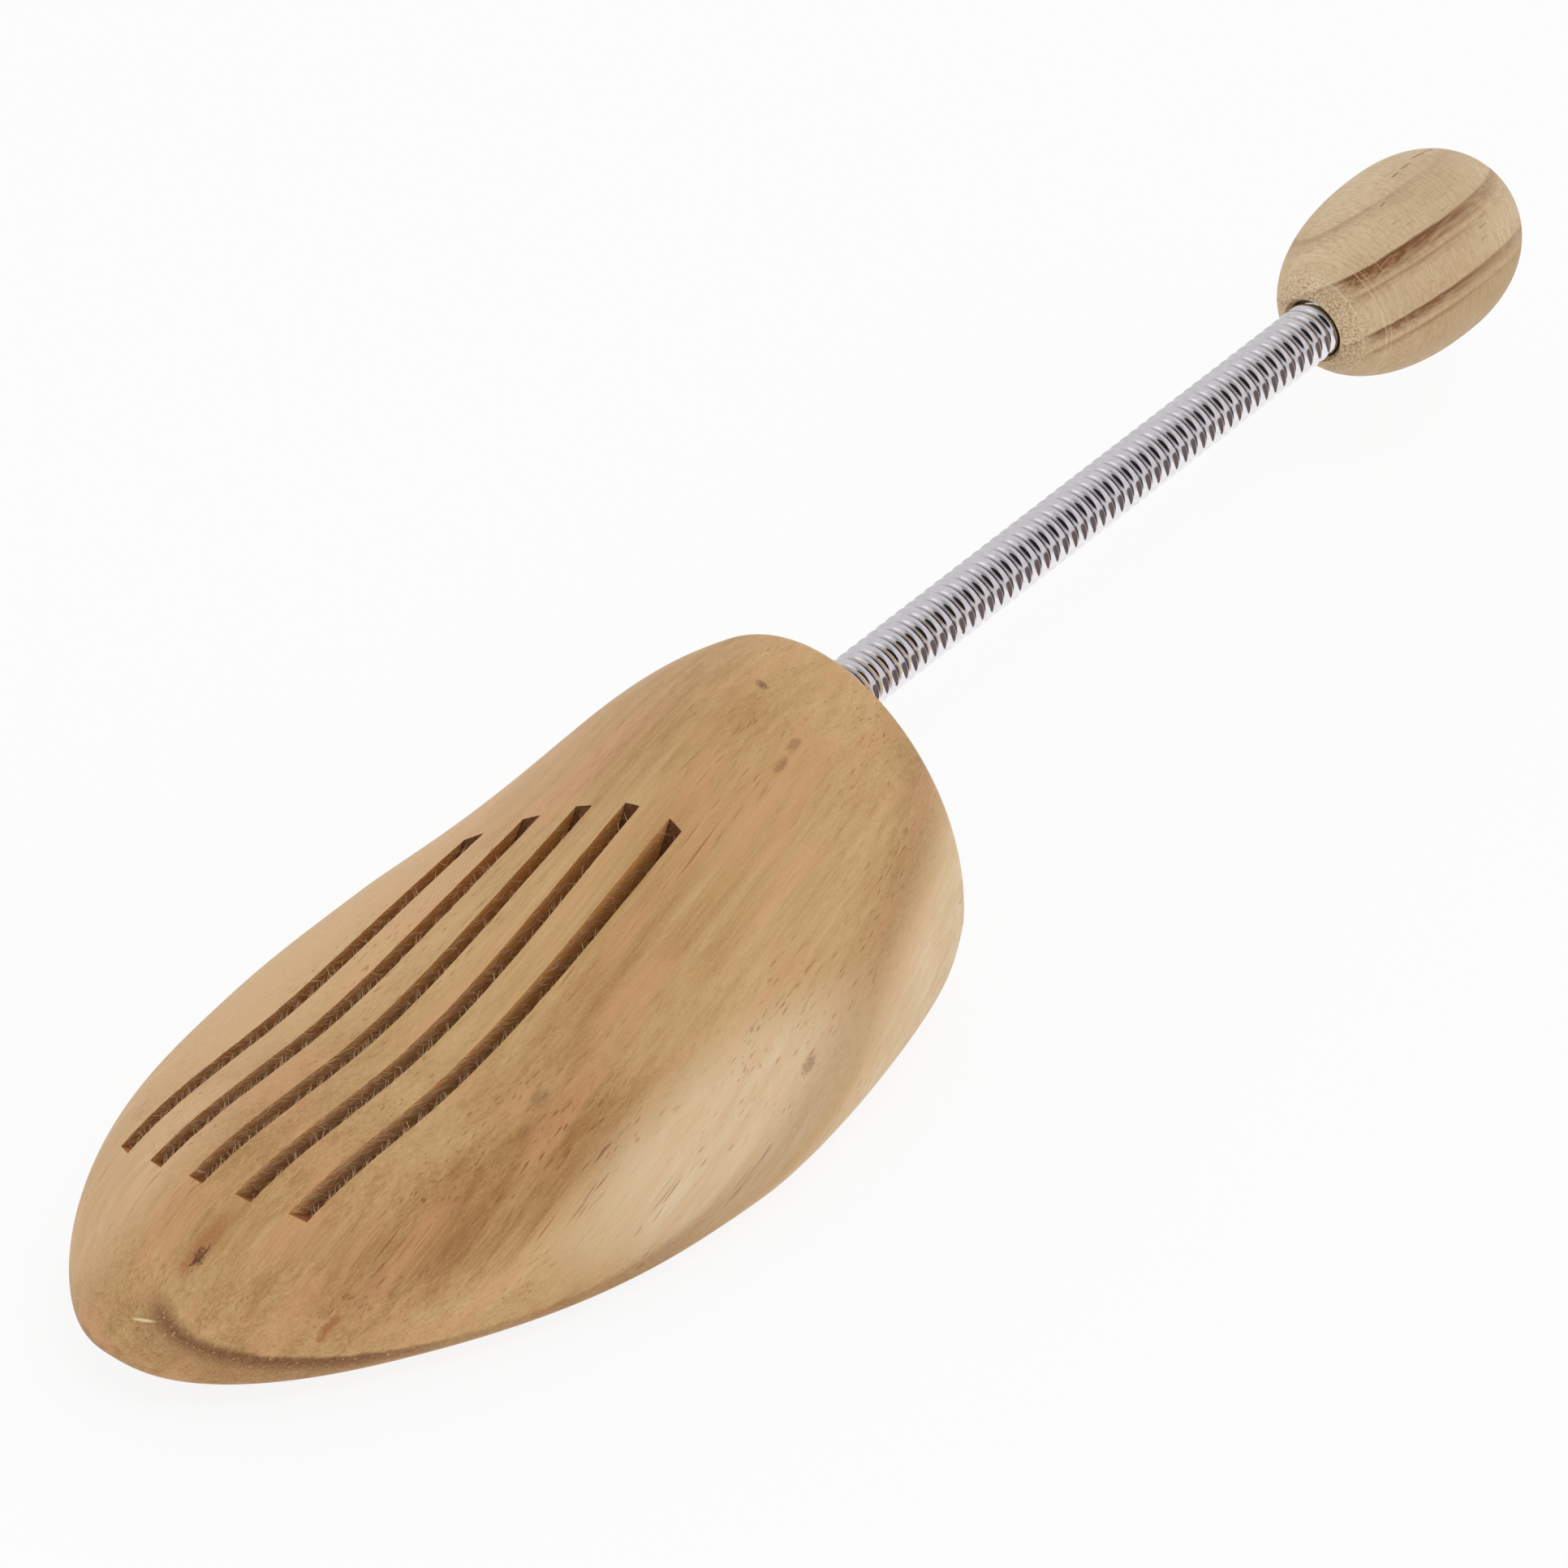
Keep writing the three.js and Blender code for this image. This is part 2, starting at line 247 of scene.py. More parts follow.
def surface(nodes, colour, roughness, height=None, bump_depth=0.1, **fixed):
    """Closes a finish. A height of 1 stands for bump_depth millimetres."""
    inputs = {"Base Color": colour, "Roughness": roughness}
    inputs.update({name.replace("_", " "): value for name, value in fixed.items()})
    if height is not None:
        bump = {"Strength": 1.0, "Distance": bump_depth * MM, "Height": height}
        inputs["Normal"] = nodes.node("ShaderNodeBump", None, bump)
    shader = nodes.node("ShaderNodeBsdfPrincipled", None, inputs)
    nodes.node("ShaderNodeOutputMaterial", None, {"Surface": shader})


print("finish helper ready")

# %% [markdown]
# The studio starts with a pale floor. It answers the camera mostly with white of its own,
# so it stays white, and the rest is honest diffuse white that keeps the shadow of the tree.

# %% Floor
FLOOR_SIZE = 6.0
FLOOR_OWN_WHITE = 0.88


def grey(level):
    return (level, level, level, 1)


def ray_kinds(nodes):
    """1 for rays of the camera, and 1 for rays of mirrors and glass."""
    camera_ray = nodes.node("ShaderNodeLightPath", None, None, "Is Camera Ray")
    outputs = camera_ray.socket.node.outputs
    mirror = Value(nodes, outputs["Is Glossy Ray"])
    return camera_ray, mirror.most(Value(nodes, outputs["Is Transmission Ray"]))


def floor_finish():
    material, nodes = new_finish("white_floor")
    camera_ray, mirror_ray = ray_kinds(nodes)
    paper = nodes.node("ShaderNodeBsdfDiffuse", None, {"Color": grey(0.95)})
    glow = nodes.node("ShaderNodeEmission", None, {"Color": grey(1.0), "Strength": 1.0})
    clear = nodes.node("ShaderNodeBsdfTransparent")
    shown = nodes.node("ShaderNodeMixShader", None, {0: camera_ray * FLOOR_OWN_WHITE, 1: paper, 2: glow})
    shader = nodes.node("ShaderNodeMixShader", None, {0: mirror_ray, 1: shown, 2: clear})
    nodes.node("ShaderNodeOutputMaterial", None, {"Surface": shader})
    return material


def mesh_piece(name, points, faces, material=None):
    """A mesh object at the origin, from points in millimetres."""
    mesh = bpy.data.meshes.new(name)
    mesh.from_pydata([Vector(point) * MM for point in points], [], faces)
    if material is not None:
        mesh.materials.append(material)
    return put(name, mesh)


reach = FLOOR_SIZE / 2 / MM
corners = [(-reach, -reach, 0), (reach, -reach, 0), (reach, reach, 0), (-reach, reach, 0)]
floor = mesh_piece("floor", corners, [(0, 1, 2, 3)], floor_finish())
print("floor laid,", FLOOR_SIZE, "m wide")

# %% [markdown]
# Bright wire shows whatever stands round it, so mirrors see a set of their own, painted by direction:
# grey walls with a window, a darker ceiling, white paper below, a pale screen at the outer side
# with a brown table under it, and a black curtain over the toe.
# All but the paper and the window lean to the outer side, turned about the spring.

# %% Set that mirrors see
SET_LEAN = 16
WALL, CEILING, PAPER = grey(0.66), grey(0.36), grey(1.0)
SCREEN, TABLE, CURTAIN = seen(222, 217, 220), seen(110, 97, 94), (0.016, 0.014, 0.014, 1)
TABLE_AZIMUTH, TABLE_ELEVATION, TABLE_SLOPE = 120, -8, 0.3
TABLE_HALF_WIDTH, TABLE_HALF_HEIGHT = 44, 29


def heading(azimuth, elevation):
    """The direction at an azimuth and an elevation in degrees."""
    flat = math.cos(math.radians(elevation))
    turn = math.radians(azimuth)
    return Vector((flat * math.cos(turn), flat * math.sin(turn), math.sin(math.radians(elevation))))


def degrees_from(towards, middle):
    return towards.dot(middle).of("ARCCOSINE") * math.degrees(1)


world = bpy.data.worlds.new("white_tent")
world.use_nodes = True
world.node_tree.nodes.clear()
tent = Nodes(world.node_tree)
direction = tent.node("ShaderNodeTexCoord", None, None, "Generated")
upward = direction.dot((0, 0, 1))
leaning = tent.node("ShaderNodeVectorRotate", {"rotation_type": "X_AXIS"},
                    {"Vector": direction, "Angle": math.radians(SET_LEAN)}, "Vector")
sideways = leaning.dot((0, 1, 0))
azimuth = sideways.math("ARCTAN2", sideways, leaning.dot((1, 0, 0))) * math.degrees(1)
elevation = leaning.dot((0, 0, 1)).of("ARCSINE") * math.degrees(1)

window = degrees_from(direction, heading(-28, 42))
screen = azimuth.rise(72, 86) * elevation.rise(8, 18) * elevation.rise(62, 50)
table_side = azimuth - TABLE_AZIMUTH
table_drop = elevation - TABLE_ELEVATION + table_side * TABLE_SLOPE
table = table_side * table_side / TABLE_HALF_WIDTH ** 2 + table_drop * table_drop / TABLE_HALF_HEIGHT ** 2
curtain = degrees_from(leaning, heading(36, 47))
mirrored = tent.paint(WALL, (elevation.rise(55, 80), CEILING), (upward.rise(-0.2, -0.58), PAPER),
                      (window.rise(19, 6), PAPER), (screen, SCREEN), (table.rise(1.2, 0.8), TABLE),
                      (curtain.rise(36, 24), CURTAIN))
print("mirrored set with", len(tent.tree.nodes), "nodes")

# %% [markdown]
# A white tent and one soft lamp overhead light the tree. The tent is brighter at its sides than at its top
# and open towards the camera, so flanks are as light as tops. The camera itself sees plain white behind.

# %% Tent and lamp
TENT_SIDES, TENT_TOP, FRONT_DIM = 1.62, 0.62, 0.35
LAMP_DIRECTION = Vector((0.07, 0.38, 0.92)).normalized()
LAMP_DISTANCE, LAMP_SIZE, LAMP_POWER = 1.5, 0.6, 3.4

camera_ray, mirror_ray = ray_kinds(tent)
shown = tent.mix(camera_ray, mirrored, grey(1.0))
front = direction.dot(to_camera).rise(0.3, 1.0) * FRONT_DIM
cloth = tent.paint(grey(TENT_SIDES), (upward.rise(0.0, 0.9), grey(TENT_TOP)), (front, grey(0.0)))
lighting = tent.node("ShaderNodeBackground", None, {"Color": cloth, "Strength": 1.0})
backdrop = tent.node("ShaderNodeBackground", None, {"Color": shown, "Strength": 1.0})
both = tent.node("ShaderNodeMixShader", None, {0: camera_ray.most(mirror_ray), 1: lighting, 2: backdrop})
tent.node("ShaderNodeOutputWorld", None, {"Surface": both})
bpy.context.scene.world = world

bulb = bpy.data.lights.new("overhead_lamp", "AREA")
bulb.energy = LAMP_POWER
bulb.size = LAMP_SIZE
lamp = put("overhead_lamp", bulb)
lamp.location = LOOK_AT * MM + LAMP_DIRECTION * LAMP_DISTANCE
lamp.rotation_euler = (-LAMP_DIRECTION).to_track_quat("-Z", "Y").to_euler()
lamp.visible_glossy = False
bpy.context.scene.view_settings.view_transform = "Standard"
print("studio: tent and lamp")

# %% [markdown]
# The forefoot is a last: its outline from above, its crown line and its sole line are each a curve
# of the distance from the rear face. Subdividing a rough cage would only guess at those lines,
# so the skin is a loft of rings computed from the same formulas as the solid, only finer.

# %% Lines of the last
INSTEP_END, TOE_START, TOE_HEIGHT = 5.0, 106.0, 31.0
NOSE_DROP, NOSE_DROP_FROM_TIP = 8.0, 40.0
TOE_SPRING, TOE_SPRING_FROM_TIP, SOLE_DEPTH = 3.3, 88.0, 1.2
REAR_WIDTH, BALL_WIDTH, BALL_PLACE, BALL_SWELL = 65.0, 89.0, 62.0, 1.43
TOE_TAPER, TOE_TAPER_POWER = 28.0, 1.9
TOE_ROUND_FROM_TIP, TOE_ROUND_FULLNESS = 82.5, 2.22
NOSE_ROUND_FROM_TIP, NOSE_ROUND_FULLNESS = 29.0, 2.4
REAR_OFFSET, TOE_OFFSET, LEAN_START, LEAN_PAST_TIP = 5.0, -6.3, 22.0, 10.0
REAR_CORNER_INSET, REAR_CORNER_REACH = 1.0, 9.4


def share(place, start, end):
    return np.clip((place - start) / (end - start), 0, 1)


def fall(place, start, end):
    return 0.5 + 0.5 * np.cos(np.pi * share(place, start, end))


def lerp(first, second, part):
    return first + (second - first) * part


def round_off(place, from_tip, fullness):
    part = share(place, FOREFOOT_LENGTH - from_tip, FOREFOOT_LENGTH)
    return (1 - part ** fullness) ** (1 / fullness)


def crown(place):
    drop = share(place, FOREFOOT_LENGTH - NOSE_DROP_FROM_TIP, FOREFOOT_LENGTH)
    slope = (INSTEP_HEIGHT - TOE_HEIGHT) * fall(place, INSTEP_END, TOE_START)
    return TOE_HEIGHT + slope - NOSE_DROP * drop ** 2


def sole(place):
    lift = share(place, FOREFOOT_LENGTH - TOE_SPRING_FROM_TIP, FOREFOOT_LENGTH)
    return TOE_SPRING * lift ** 2 - SOLE_DEPTH


def half_width(place):
    narrow = (BALL_WIDTH - REAR_WIDTH) * np.clip(1 - place / BALL_PLACE, 0, 1) ** BALL_SWELL
    taper = TOE_TAPER * share(place, BALL_PLACE, FOREFOOT_LENGTH) ** TOE_TAPER_POWER
    corner = REAR_CORNER_INSET * np.clip(1 - place / REAR_CORNER_REACH, 0, 1) ** 2
    toe_round = round_off(place, TOE_ROUND_FROM_TIP, TOE_ROUND_FULLNESS)
    return (BALL_WIDTH - narrow - taper) / 2 * toe_round - corner


def middle_line(place):
    lean = fall(place, LEAN_START, FOREFOOT_LENGTH + LEAN_PAST_TIP)
    return TOE_OFFSET + (REAR_OFFSET - TOE_OFFSET) * lean


print("crown at the ball", round(float(crown(BALL_PLACE)), 1), "mm")

# %% [markdown]
# Each ring is a superellipse whose upper half is ridged over the instep and whose lower half is boxier.
# Its widest point sits lower on the outer side of the foot than on the inner side.

# %% Rings of the last
OUTER_WIDEST, INNER_WIDEST, TIP_HEIGHT = 0.21, 0.42, 0.4
REAR_OUTER_WIDEST, REAR_INNER_WIDEST, REAR_LOWER_FULLNESS = 0.36, 0.24, 2.1
REAR_REACH, REAR_REACH_POWER = 28.0, 4.2
UPPER_FULLNESS, LOWER_FULLNESS = 2.0, 2.7
RIDGE_SHARPNESS, RIDGE_END = 0.5, 93.0
REAR_EDGE_ROUND, REAR_EDGE_STEPS = 1.8, 8
RING_SIDES, RING_COUNT = 168, 190


def powered(value, fullness):
    return np.sign(value) * np.abs(value) ** (2 / fullness)


def last_ring(place, inset=0.0):
    """Points of one ring, counter-clockwise as seen from the toe."""
    angle = np.linspace(0, 2 * np.pi, RING_SIDES, endpoint=False)
    nose = round_off(place, NOSE_ROUND_FROM_TIP, NOSE_ROUND_FULLNESS)
    tip = lerp(sole(place), crown(place), TIP_HEIGHT)
    top = lerp(tip, crown(place), nose) - inset
    bottom = lerp(tip, sole(place), nose) + inset
    ridge = RIDGE_SHARPNESS * np.sin(np.pi * share(place, 0, RIDGE_END)) ** 2
    rear_share = np.clip(1 - place / REAR_REACH, 0, 1) ** REAR_REACH_POWER
    lower = lerp(LOWER_FULLNESS, REAR_LOWER_FULLNESS, rear_share)
    inner_widest = lerp(INNER_WIDEST, REAR_INNER_WIDEST, rear_share)
    outer_widest = lerp(OUTER_WIDEST, REAR_OUTER_WIDEST, rear_share)
    fullness = np.where(np.sin(angle) >= 0, UPPER_FULLNESS - ridge, lower)
    across = powered(np.cos(angle), fullness)
    up = powered(np.sin(angle), fullness)
    widest = lerp(bottom, top, lerp(inner_widest, outer_widest, 0.5 + 0.5 * across))
    height = np.where(up >= 0, lerp(widest, top, up), lerp(widest, bottom, -up))
    side = AXIS_Y + middle_line(place) + max(half_width(place) - inset, 0) * across
    return np.column_stack([np.full(RING_SIDES, REAR_FACE + place), side, height])


def last_rings():
    for step in range(REAR_EDGE_STEPS):
        turn = math.pi / 2 * (1 - step / REAR_EDGE_STEPS)
        yield last_ring(REAR_EDGE_ROUND * (1 - math.sin(turn)), REAR_EDGE_ROUND * (1 - math.cos(turn)))
    for step in range(RING_COUNT):
        yield last_ring(lerp(REAR_EDGE_ROUND, FOREFOOT_LENGTH, math.sin(math.pi / 2 * step / RING_COUNT)))


def bridge(ring_count, sides):
    """Faces between rings that follow each other in one list of points."""
    faces = []
    for ring in range(ring_count - 1):
        for side in range(sides):
            after = (side + 1) % sides
            faces.append((ring * sides + side, ring * sides + after,
                          (ring + 1) * sides + after, (ring + 1) * sides + side))
    return faces


rings = list(last_rings())
tip_point = (REAR_FACE + FOREFOOT_LENGTH, AXIS_Y + middle_line(FOREFOOT_LENGTH),
             lerp(sole(FOREFOOT_LENGTH), crown(FOREFOOT_LENGTH), TIP_HEIGHT))
points = [tuple(point) for ring in rings for point in ring] + [tip_point]
faces = bridge(len(rings), RING_SIDES)
faces.append(tuple(range(RING_SIDES)))
last_start = (len(rings) - 1) * RING_SIDES
faces += [(last_start + side, last_start + (side + 1) % RING_SIDES, len(points) - 1)
          for side in range(RING_SIDES)]
forefoot = mesh_piece("forefoot_last", points, faces)
print("last lofted from", len(rings), "rings")

# %% [markdown]
# The sole is planed flat so that the tree stands. A cut by a plane leaves an open edge,
# and one face closes it.

# %% Plane the sole
def rework(piece, change):
    """Runs a change on the mesh of a piece and turns its faces outwards."""
    work = bmesh.new()
    work.from_mesh(piece.data)
    change(work)
    bmesh.ops.recalc_face_normals(work, faces=work.faces[:])
    work.to_mesh(piece.data)
    work.free()


def plane_sole(work):
    geometry = work.verts[:] + work.edges[:] + work.faces[:]
    bmesh.ops.bisect_plane(work, geom=geometry, plane_co=(0, 0, 0), plane_no=(0, 0, 1), clear_inner=True)
    rim = [edge for edge in work.edges if edge.is_boundary]
    bmesh.ops.contextual_create(work, geom=rim)


rework(forefoot, plane_sole)
print("sole planed,", len(forefoot.data.polygons), "faces")

# %% [markdown]
# Five air slots are sawn into the top by a gang of round blades, tilted along the slope of the instep.
# Seen from the side each cut is part of an ellipse,
# and its walls waver by less than a tenth of a millimetre.

# %% Saw cuts
SLOT_COUNT, SLOT_WIDTH, SLOT_SPACING, SLOT_STAGGER, SLOT_MIDDLE = 5, 2.9, 8.4, 1.1, -7.2
SLOT_FROM_REAR, SLOT_FROM_TIP, SLOT_DEPTH, SAW_CENTRE_RISE, SLOT_LIFT = 43.0, 22.4, 24.0, 16.0, 0.6
SAW_STEPS, SAW_LEVELS, SAW_CLEAR, SAW_OVERCUT = 120, 14, 8.0, 1.0001
SAW_WAVER, WAVER_ALONG, WAVER_DOWN = 0.09, 0.3, 0.9

slot_rear = Vector((SLOT_FROM_REAR, crown(SLOT_FROM_REAR)))
slot_toe = Vector((FOREFOOT_LENGTH - SLOT_FROM_TIP, crown(FOREFOOT_LENGTH - SLOT_FROM_TIP)))
run_axis = (slot_toe - slot_rear).normalized()
rise_axis = Vector((-run_axis.y, run_axis.x))
saw_depth = SLOT_DEPTH + SAW_CENTRE_RISE
saw_run = (slot_toe - slot_rear).length / 2 / math.sqrt(1 - (SAW_CENTRE_RISE / saw_depth) ** 2)
saw_centre = (slot_rear + slot_toe) / 2 + rise_axis * SAW_CENTRE_RISE


def slot_line(index):
    """Place of the slot's middle plane across the tree, its shift along the tree and its lift."""
    from_middle = index - (SLOT_COUNT - 1) / 2
    middle = AXIS_Y + SLOT_MIDDLE + from_middle * SLOT_SPACING
    return middle, -from_middle * SLOT_STAGGER, from_middle * SLOT_LIFT


def saw_cut(index):
    """A closed blade-shaped solid: one wall up, over the top and down the other wall."""
    middle, shift, lift = slot_line(index)
    points = []
    for step in range(SAW_STEPS + 1):
        angle = math.pi * (1 + step / SAW_STEPS)
        run = saw_centre + run_axis * saw_run * math.cos(angle)
        low = run + rise_axis * saw_depth * math.sin(angle) * SAW_OVERCUT
        high = run + rise_axis * SAW_CLEAR
        for wall in (-1, 1):
            for rung in range(SAW_LEVELS):
                part = rung / (SAW_LEVELS - 1)
                spot = low.lerp(high, part if wall < 0 else 1 - part)
                own_wall = index * 7 + wall * 3
                waver = noise.noise(Vector((spot.x * WAVER_ALONG, spot.y * WAVER_DOWN, own_wall)))
                side = middle + wall * (SLOT_WIDTH / 2 + SAW_WAVER * waver)
                points.append((REAR_FACE + spot.x + shift, side, spot.y + lift))
    sides = 2 * SAW_LEVELS
    faces = bridge(SAW_STEPS + 1, sides)
    faces.append(tuple(range(sides)))
    faces.append(tuple(range(SAW_STEPS * sides, (SAW_STEPS + 1) * sides)))
    floors = [number < SAW_STEPS * sides and number % sides == sides - 1 for number in range(len(faces))]
    return points, faces, floors


print("saw: half run", round(saw_run, 1), "mm, depth under the chord", SLOT_DEPTH, "mm")

# %% [markdown]
# Cutting is a Boolean. The cutter carries its own material, which the Boolean hands on to the new walls,
# so the sawn faces are told apart from the sanded skin without picking faces by hand.

# %% Cutting tools
def settle(piece):
    """Makes what the modifiers give the plain mesh of the piece."""
    graph = bpy.context.evaluated_depsgraph_get()
    made = bpy.data.meshes.new_from_object(piece.evaluated_get(graph), preserve_all_data_layers=True,
                                           depsgraph=graph)
    piece.modifiers.clear()
    piece.data = made


def weld(work):
    bmesh.ops.remove_doubles(work, verts=work.verts[:], dist=1e-7)


def carve(piece, cutter):
    rework(cutter, weld)
    cut = piece.modifiers.new("cut", "BOOLEAN")
    cut.operation = "DIFFERENCE"
    cut.solver = "EXACT"
    cut.material_mode = "TRANSFER"
    cut.object = cutter
    settle(piece)
    bpy.data.objects.remove(cutter)


def drill(name, start, direction, stages, material, sides=64):
    """A stepped round cutter: stages are (distance, radius) from the start along an axis."""
    axis = Vector(direction)
    first = axis.orthogonal().normalized()
    second = axis.cross(first)
    points = []
    for distance, radius in stages:
        for side in range(sides):
            turn = 2 * math.pi * side / sides
            spoke = first * math.cos(turn) + second * math.sin(turn)
            points.append(Vector(start) + axis * distance + spoke * radius)
    faces = bridge(len(stages), sides)
    faces.append(tuple(range(sides)))
    faces.append(tuple(range((len(stages) - 1) * sides, len(stages) * sides)))
    return mesh_piece(name, points, faces, material)


print("cutting tools ready")

# %% [markdown]
# The five slots are cut at once, then the bore for the spring and the hole for its nail.
# The floors of the slots get a darker finish of their own.

# %% Carve slots, bore and nail hole
BORE_RADIUS, FRONT_BORE_DEPTH, RIM_ROUND, OVERSHOOT = 5.55, 26.0, 0.6, 1.0
NAIL_RADIUS, NAIL_HEAD_RADIUS, NAIL_HEAD, HOLE_CLEARANCE = 1.0, 1.6, 1.0, 0.3
skin_wood, skin_nodes = new_finish("forefoot_wood")
sawn_wood, sawn_nodes = new_finish("sawn_slot_wood")
dark_floor_wood, dark_floor_nodes = new_finish("slot_floor_wood")
bored_wood, bored_nodes = new_finish("bored_wood")
forefoot.data.materials.append(skin_wood)

saw_points, saw_faces, saw_floors = [], [], []
for index in range(SLOT_COUNT):
    cut_points, cut_faces, cut_floors = saw_cut(index)
    saw_faces += [tuple(corner + len(saw_points) for corner in face) for face in cut_faces]
    saw_points += cut_points
    saw_floors += cut_floors
saw = mesh_piece("saw_cuts", saw_points, saw_faces, sawn_wood)
saw.data.materials.append(dark_floor_wood)
saw.data.polygons.foreach_set("material_index", [int(floor_face) for floor_face in saw_floors])
carve(forefoot, saw)

rim_radius = BORE_RADIUS + RIM_ROUND
bore = [(-OVERSHOOT, rim_radius), (0, rim_radius),
        (RIM_ROUND, BORE_RADIUS), (FRONT_BORE_DEPTH, BORE_RADIUS)]
carve(forefoot, drill("front_bore", (REAR_FACE, AXIS_Y, AXIS_Z), (1, 0, 0), bore, bored_wood))


def nail_hole(node):
    """A stepped hole from the underside: wide for the sunk head, narrow for the shank."""
    low, high = (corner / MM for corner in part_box(node))
    middle = (low + high) / 2
    wide = NAIL_HEAD_RADIUS + HOLE_CLEARANCE
    narrow = NAIL_RADIUS + HOLE_CLEARANCE
    shoulder = low.z + NAIL_HEAD + HOLE_CLEARANCE
    stages = [(-OVERSHOOT, wide), (shoulder, wide), (shoulder, narrow), (high.z + HOLE_CLEARANCE, narrow)]
    return drill(node + "_hole", (middle.x, middle.y, 0), (0, 0, 1), stages, bored_wood, 32)


carve(forefoot, nail_hole("forefoot_nail"))
print("forefoot carved,", len(forefoot.data.polygons), "faces,", len(forefoot.data.materials), "finishes")

# %% [markdown]
# A sanded skin is smooth, and a saw cut meets it at a sharp edge.
# Edges above a chosen angle are marked sharp and everything else is shaded smooth.

# %% Edges and body of the forefoot
WOOD_SHARP, WIRE_SHARP = 32, 50


def shade(piece, degrees):
    piece.data.shade_smooth()
    piece.data.set_sharp_from_angle(angle=math.radians(degrees))


rework(forefoot, weld)
shade(forefoot, WOOD_SHARP)
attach(forefoot, "forefoot")
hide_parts("forefoot_block")
print("forefoot rides on its body")

# %% [markdown]
# The block is sawn from a plank so that its fibres dip towards the toe, and the growth layers lie
# nearly flat but tilted to the outer side. Both are directions in space, so the figure is a solid texture:
# distances along the fibre, through the layers and across them. It then runs true round every curve,
# shows dashes on the flanks and dots where the toe cuts across the fibres.

# %% Axes of the grain
FIBRE = Vector((-0.905, 0.023, 0.424)).normalized()
LAYER = Vector((0.2805, 0.6223, 0.7305)).normalized()


def wood_place(nodes, origin=(REAR_FACE, AXIS_Y, 0)):
    """Millimetres from an origin, or else from the rear face, the spring's side place and the sole."""
    return nodes.node("ShaderNodeTexCoord", None, None, "Object").scaled(1 / MM).vector("SUBTRACT", origin)


def grain_axes(place, fibre, layer):
    """Distances along the fibre, through the layers and across both."""
    return place.dot(fibre), place.dot(layer), place.dot(fibre.cross(layer).normalized())


def grain(axes, scale_along, scale_beside, detail=2.0, roughness=0.5):
    """Random values drawn out along the fibres: scales are features per millimetre."""
    along, through, across = axes
    nodes = along.nodes
    spot = nodes.triple(along * scale_along, through * scale_beside, across * scale_beside)
    return nodes.clouds(spot, detail, roughness)


def blotch(place, centre, direction, half_length, half_width, ragged=0.0):
    """A soft long mark: 1 in its middle, 0 outside. A varying ragged value frays its edge."""
    offset = place.vector("SUBTRACT", centre)
    along = offset.dot(Vector(direction).normalized())
    distance = offset.size()
    beside = (distance * distance - along * along).most(0.0)
    stretched = along * along / half_length ** 2 + beside / half_width ** 2 + ragged
    return stretched.rise(1.0, 0.0)


def broken_line(value, pairs):
    """Straight pieces through pairs of a value and its result, level beyond both ends."""
    result = pairs[0][1]
    for (start, low), (end, high) in zip(pairs, pairs[1:]):
        result = (value - start).within(0, end - start) * ((high - low) / (end - start)) + result
    return result


def strongest(masks):
    """The greatest of several masks at each place."""
    result = masks[0]
    for mask in masks[1:]:
        result = result.most(mask)
    return result


print("grain axes ready")

# %% [markdown]
# The sanded wood is honey tan. From wide to fine it has: broad pale and warm zones, one dark growth line
# that circles the toe and comes back along the outer side, long faint streaks, and short pores.
# Light is also painted in: the lower outer flank and the inner side are made paler.
# The random parts come first.

# %% Grain of the sanded forefoot
PALE = seen(213, 178, 127)
HONEY = seen(193, 153, 101)
WARM = seen(160, 113, 64)
SAPWOOD_AND_PAINTED_LIGHT = seen(232, 208, 172)
DARK_LINE = seen(124, 80, 44)
PORE = seen(150, 94, 54)
MARK = seen(104, 66, 38)
RUSSET = seen(166, 104, 60)
PEACH = seen(214, 160, 114)
PAINTED_LIGHT_PEACH = seen(228, 191, 146)
BARE = seen(236, 212, 172)

place = wood_place(skin_nodes)
axes = grain_axes(place, FIBRE, LAYER)
through = axes[1]
from_rear = place.dot((1, 0, 0))
side = place.dot((0, 1, 0))
height = place.dot((0, 0, 1))
broad = grain(axes, 0.012, 0.05)
streaks = grain(axes, 0.018, 0.5, 4.0, 0.65)
fibres = grain(axes, 0.09, 3.0, 3.0, 0.7)
pores = grain(axes, 0.1, 2.5, 1.0)
crowd = grain(axes, 0.02, 0.12)
blush = grain(axes, 0.03, 0.16, 2.0, 0.55)
speckle = skin_nodes.clouds(place, 2.0, 0.7, 2.2)
print("grain of the sanded wood with", len(skin_nodes.tree.nodes), "nodes")

# %% [markdown]
# The dark line is one growth layer, so its level through the layers hardly changes along the block.
# It is sharp and strong at the toe, soft and faint behind, and pale sapwood lies below it.
# A pale zone on the lower outer flank is painted light.

# %% Dark growth line
line_level = broken_line(from_rear, [(8, 52.4), (42, 53.9), (58, 56.0), (72, 57.2), (92, 57.5),
                                     (106, 58.0), (152, 58.4)])
below_line = line_level + (streaks - 0.5) * 0.8 - through
softness = broken_line(from_rear, [(40, 3.2), (80, 0.9), (125, 0.4), (147, 0.5), (154, 1.2)])
fade = broken_line(from_rear, [(60, 6.5), (90, 4.0), (130, 4.5), (150, 7.0)])
strength = broken_line(from_rear, [(50, 0.36), (75, 0.3), (118, 0.45), (137, 1.1)])
line_top = broken_line(from_rear, [(8, 52), (42, 32), (70, 22), (130, 17), (146, 19.5),
                                   (153, 20.5), (160, 24)])
on_flank = (line_top - height).rise(-3, 5) * side.rise(-6, 1)
at_toe = from_rear.rise(100, 126)
core_share = at_toe * 0.62
long_tail = (below_line / fade).rise(1, 0) * (1 - core_share)
tail = long_tail + (below_line / 2.6).rise(1, 0.2) * core_share
line = (below_line / softness).rise(-0.6, 0.7) * tail * on_flank * strength
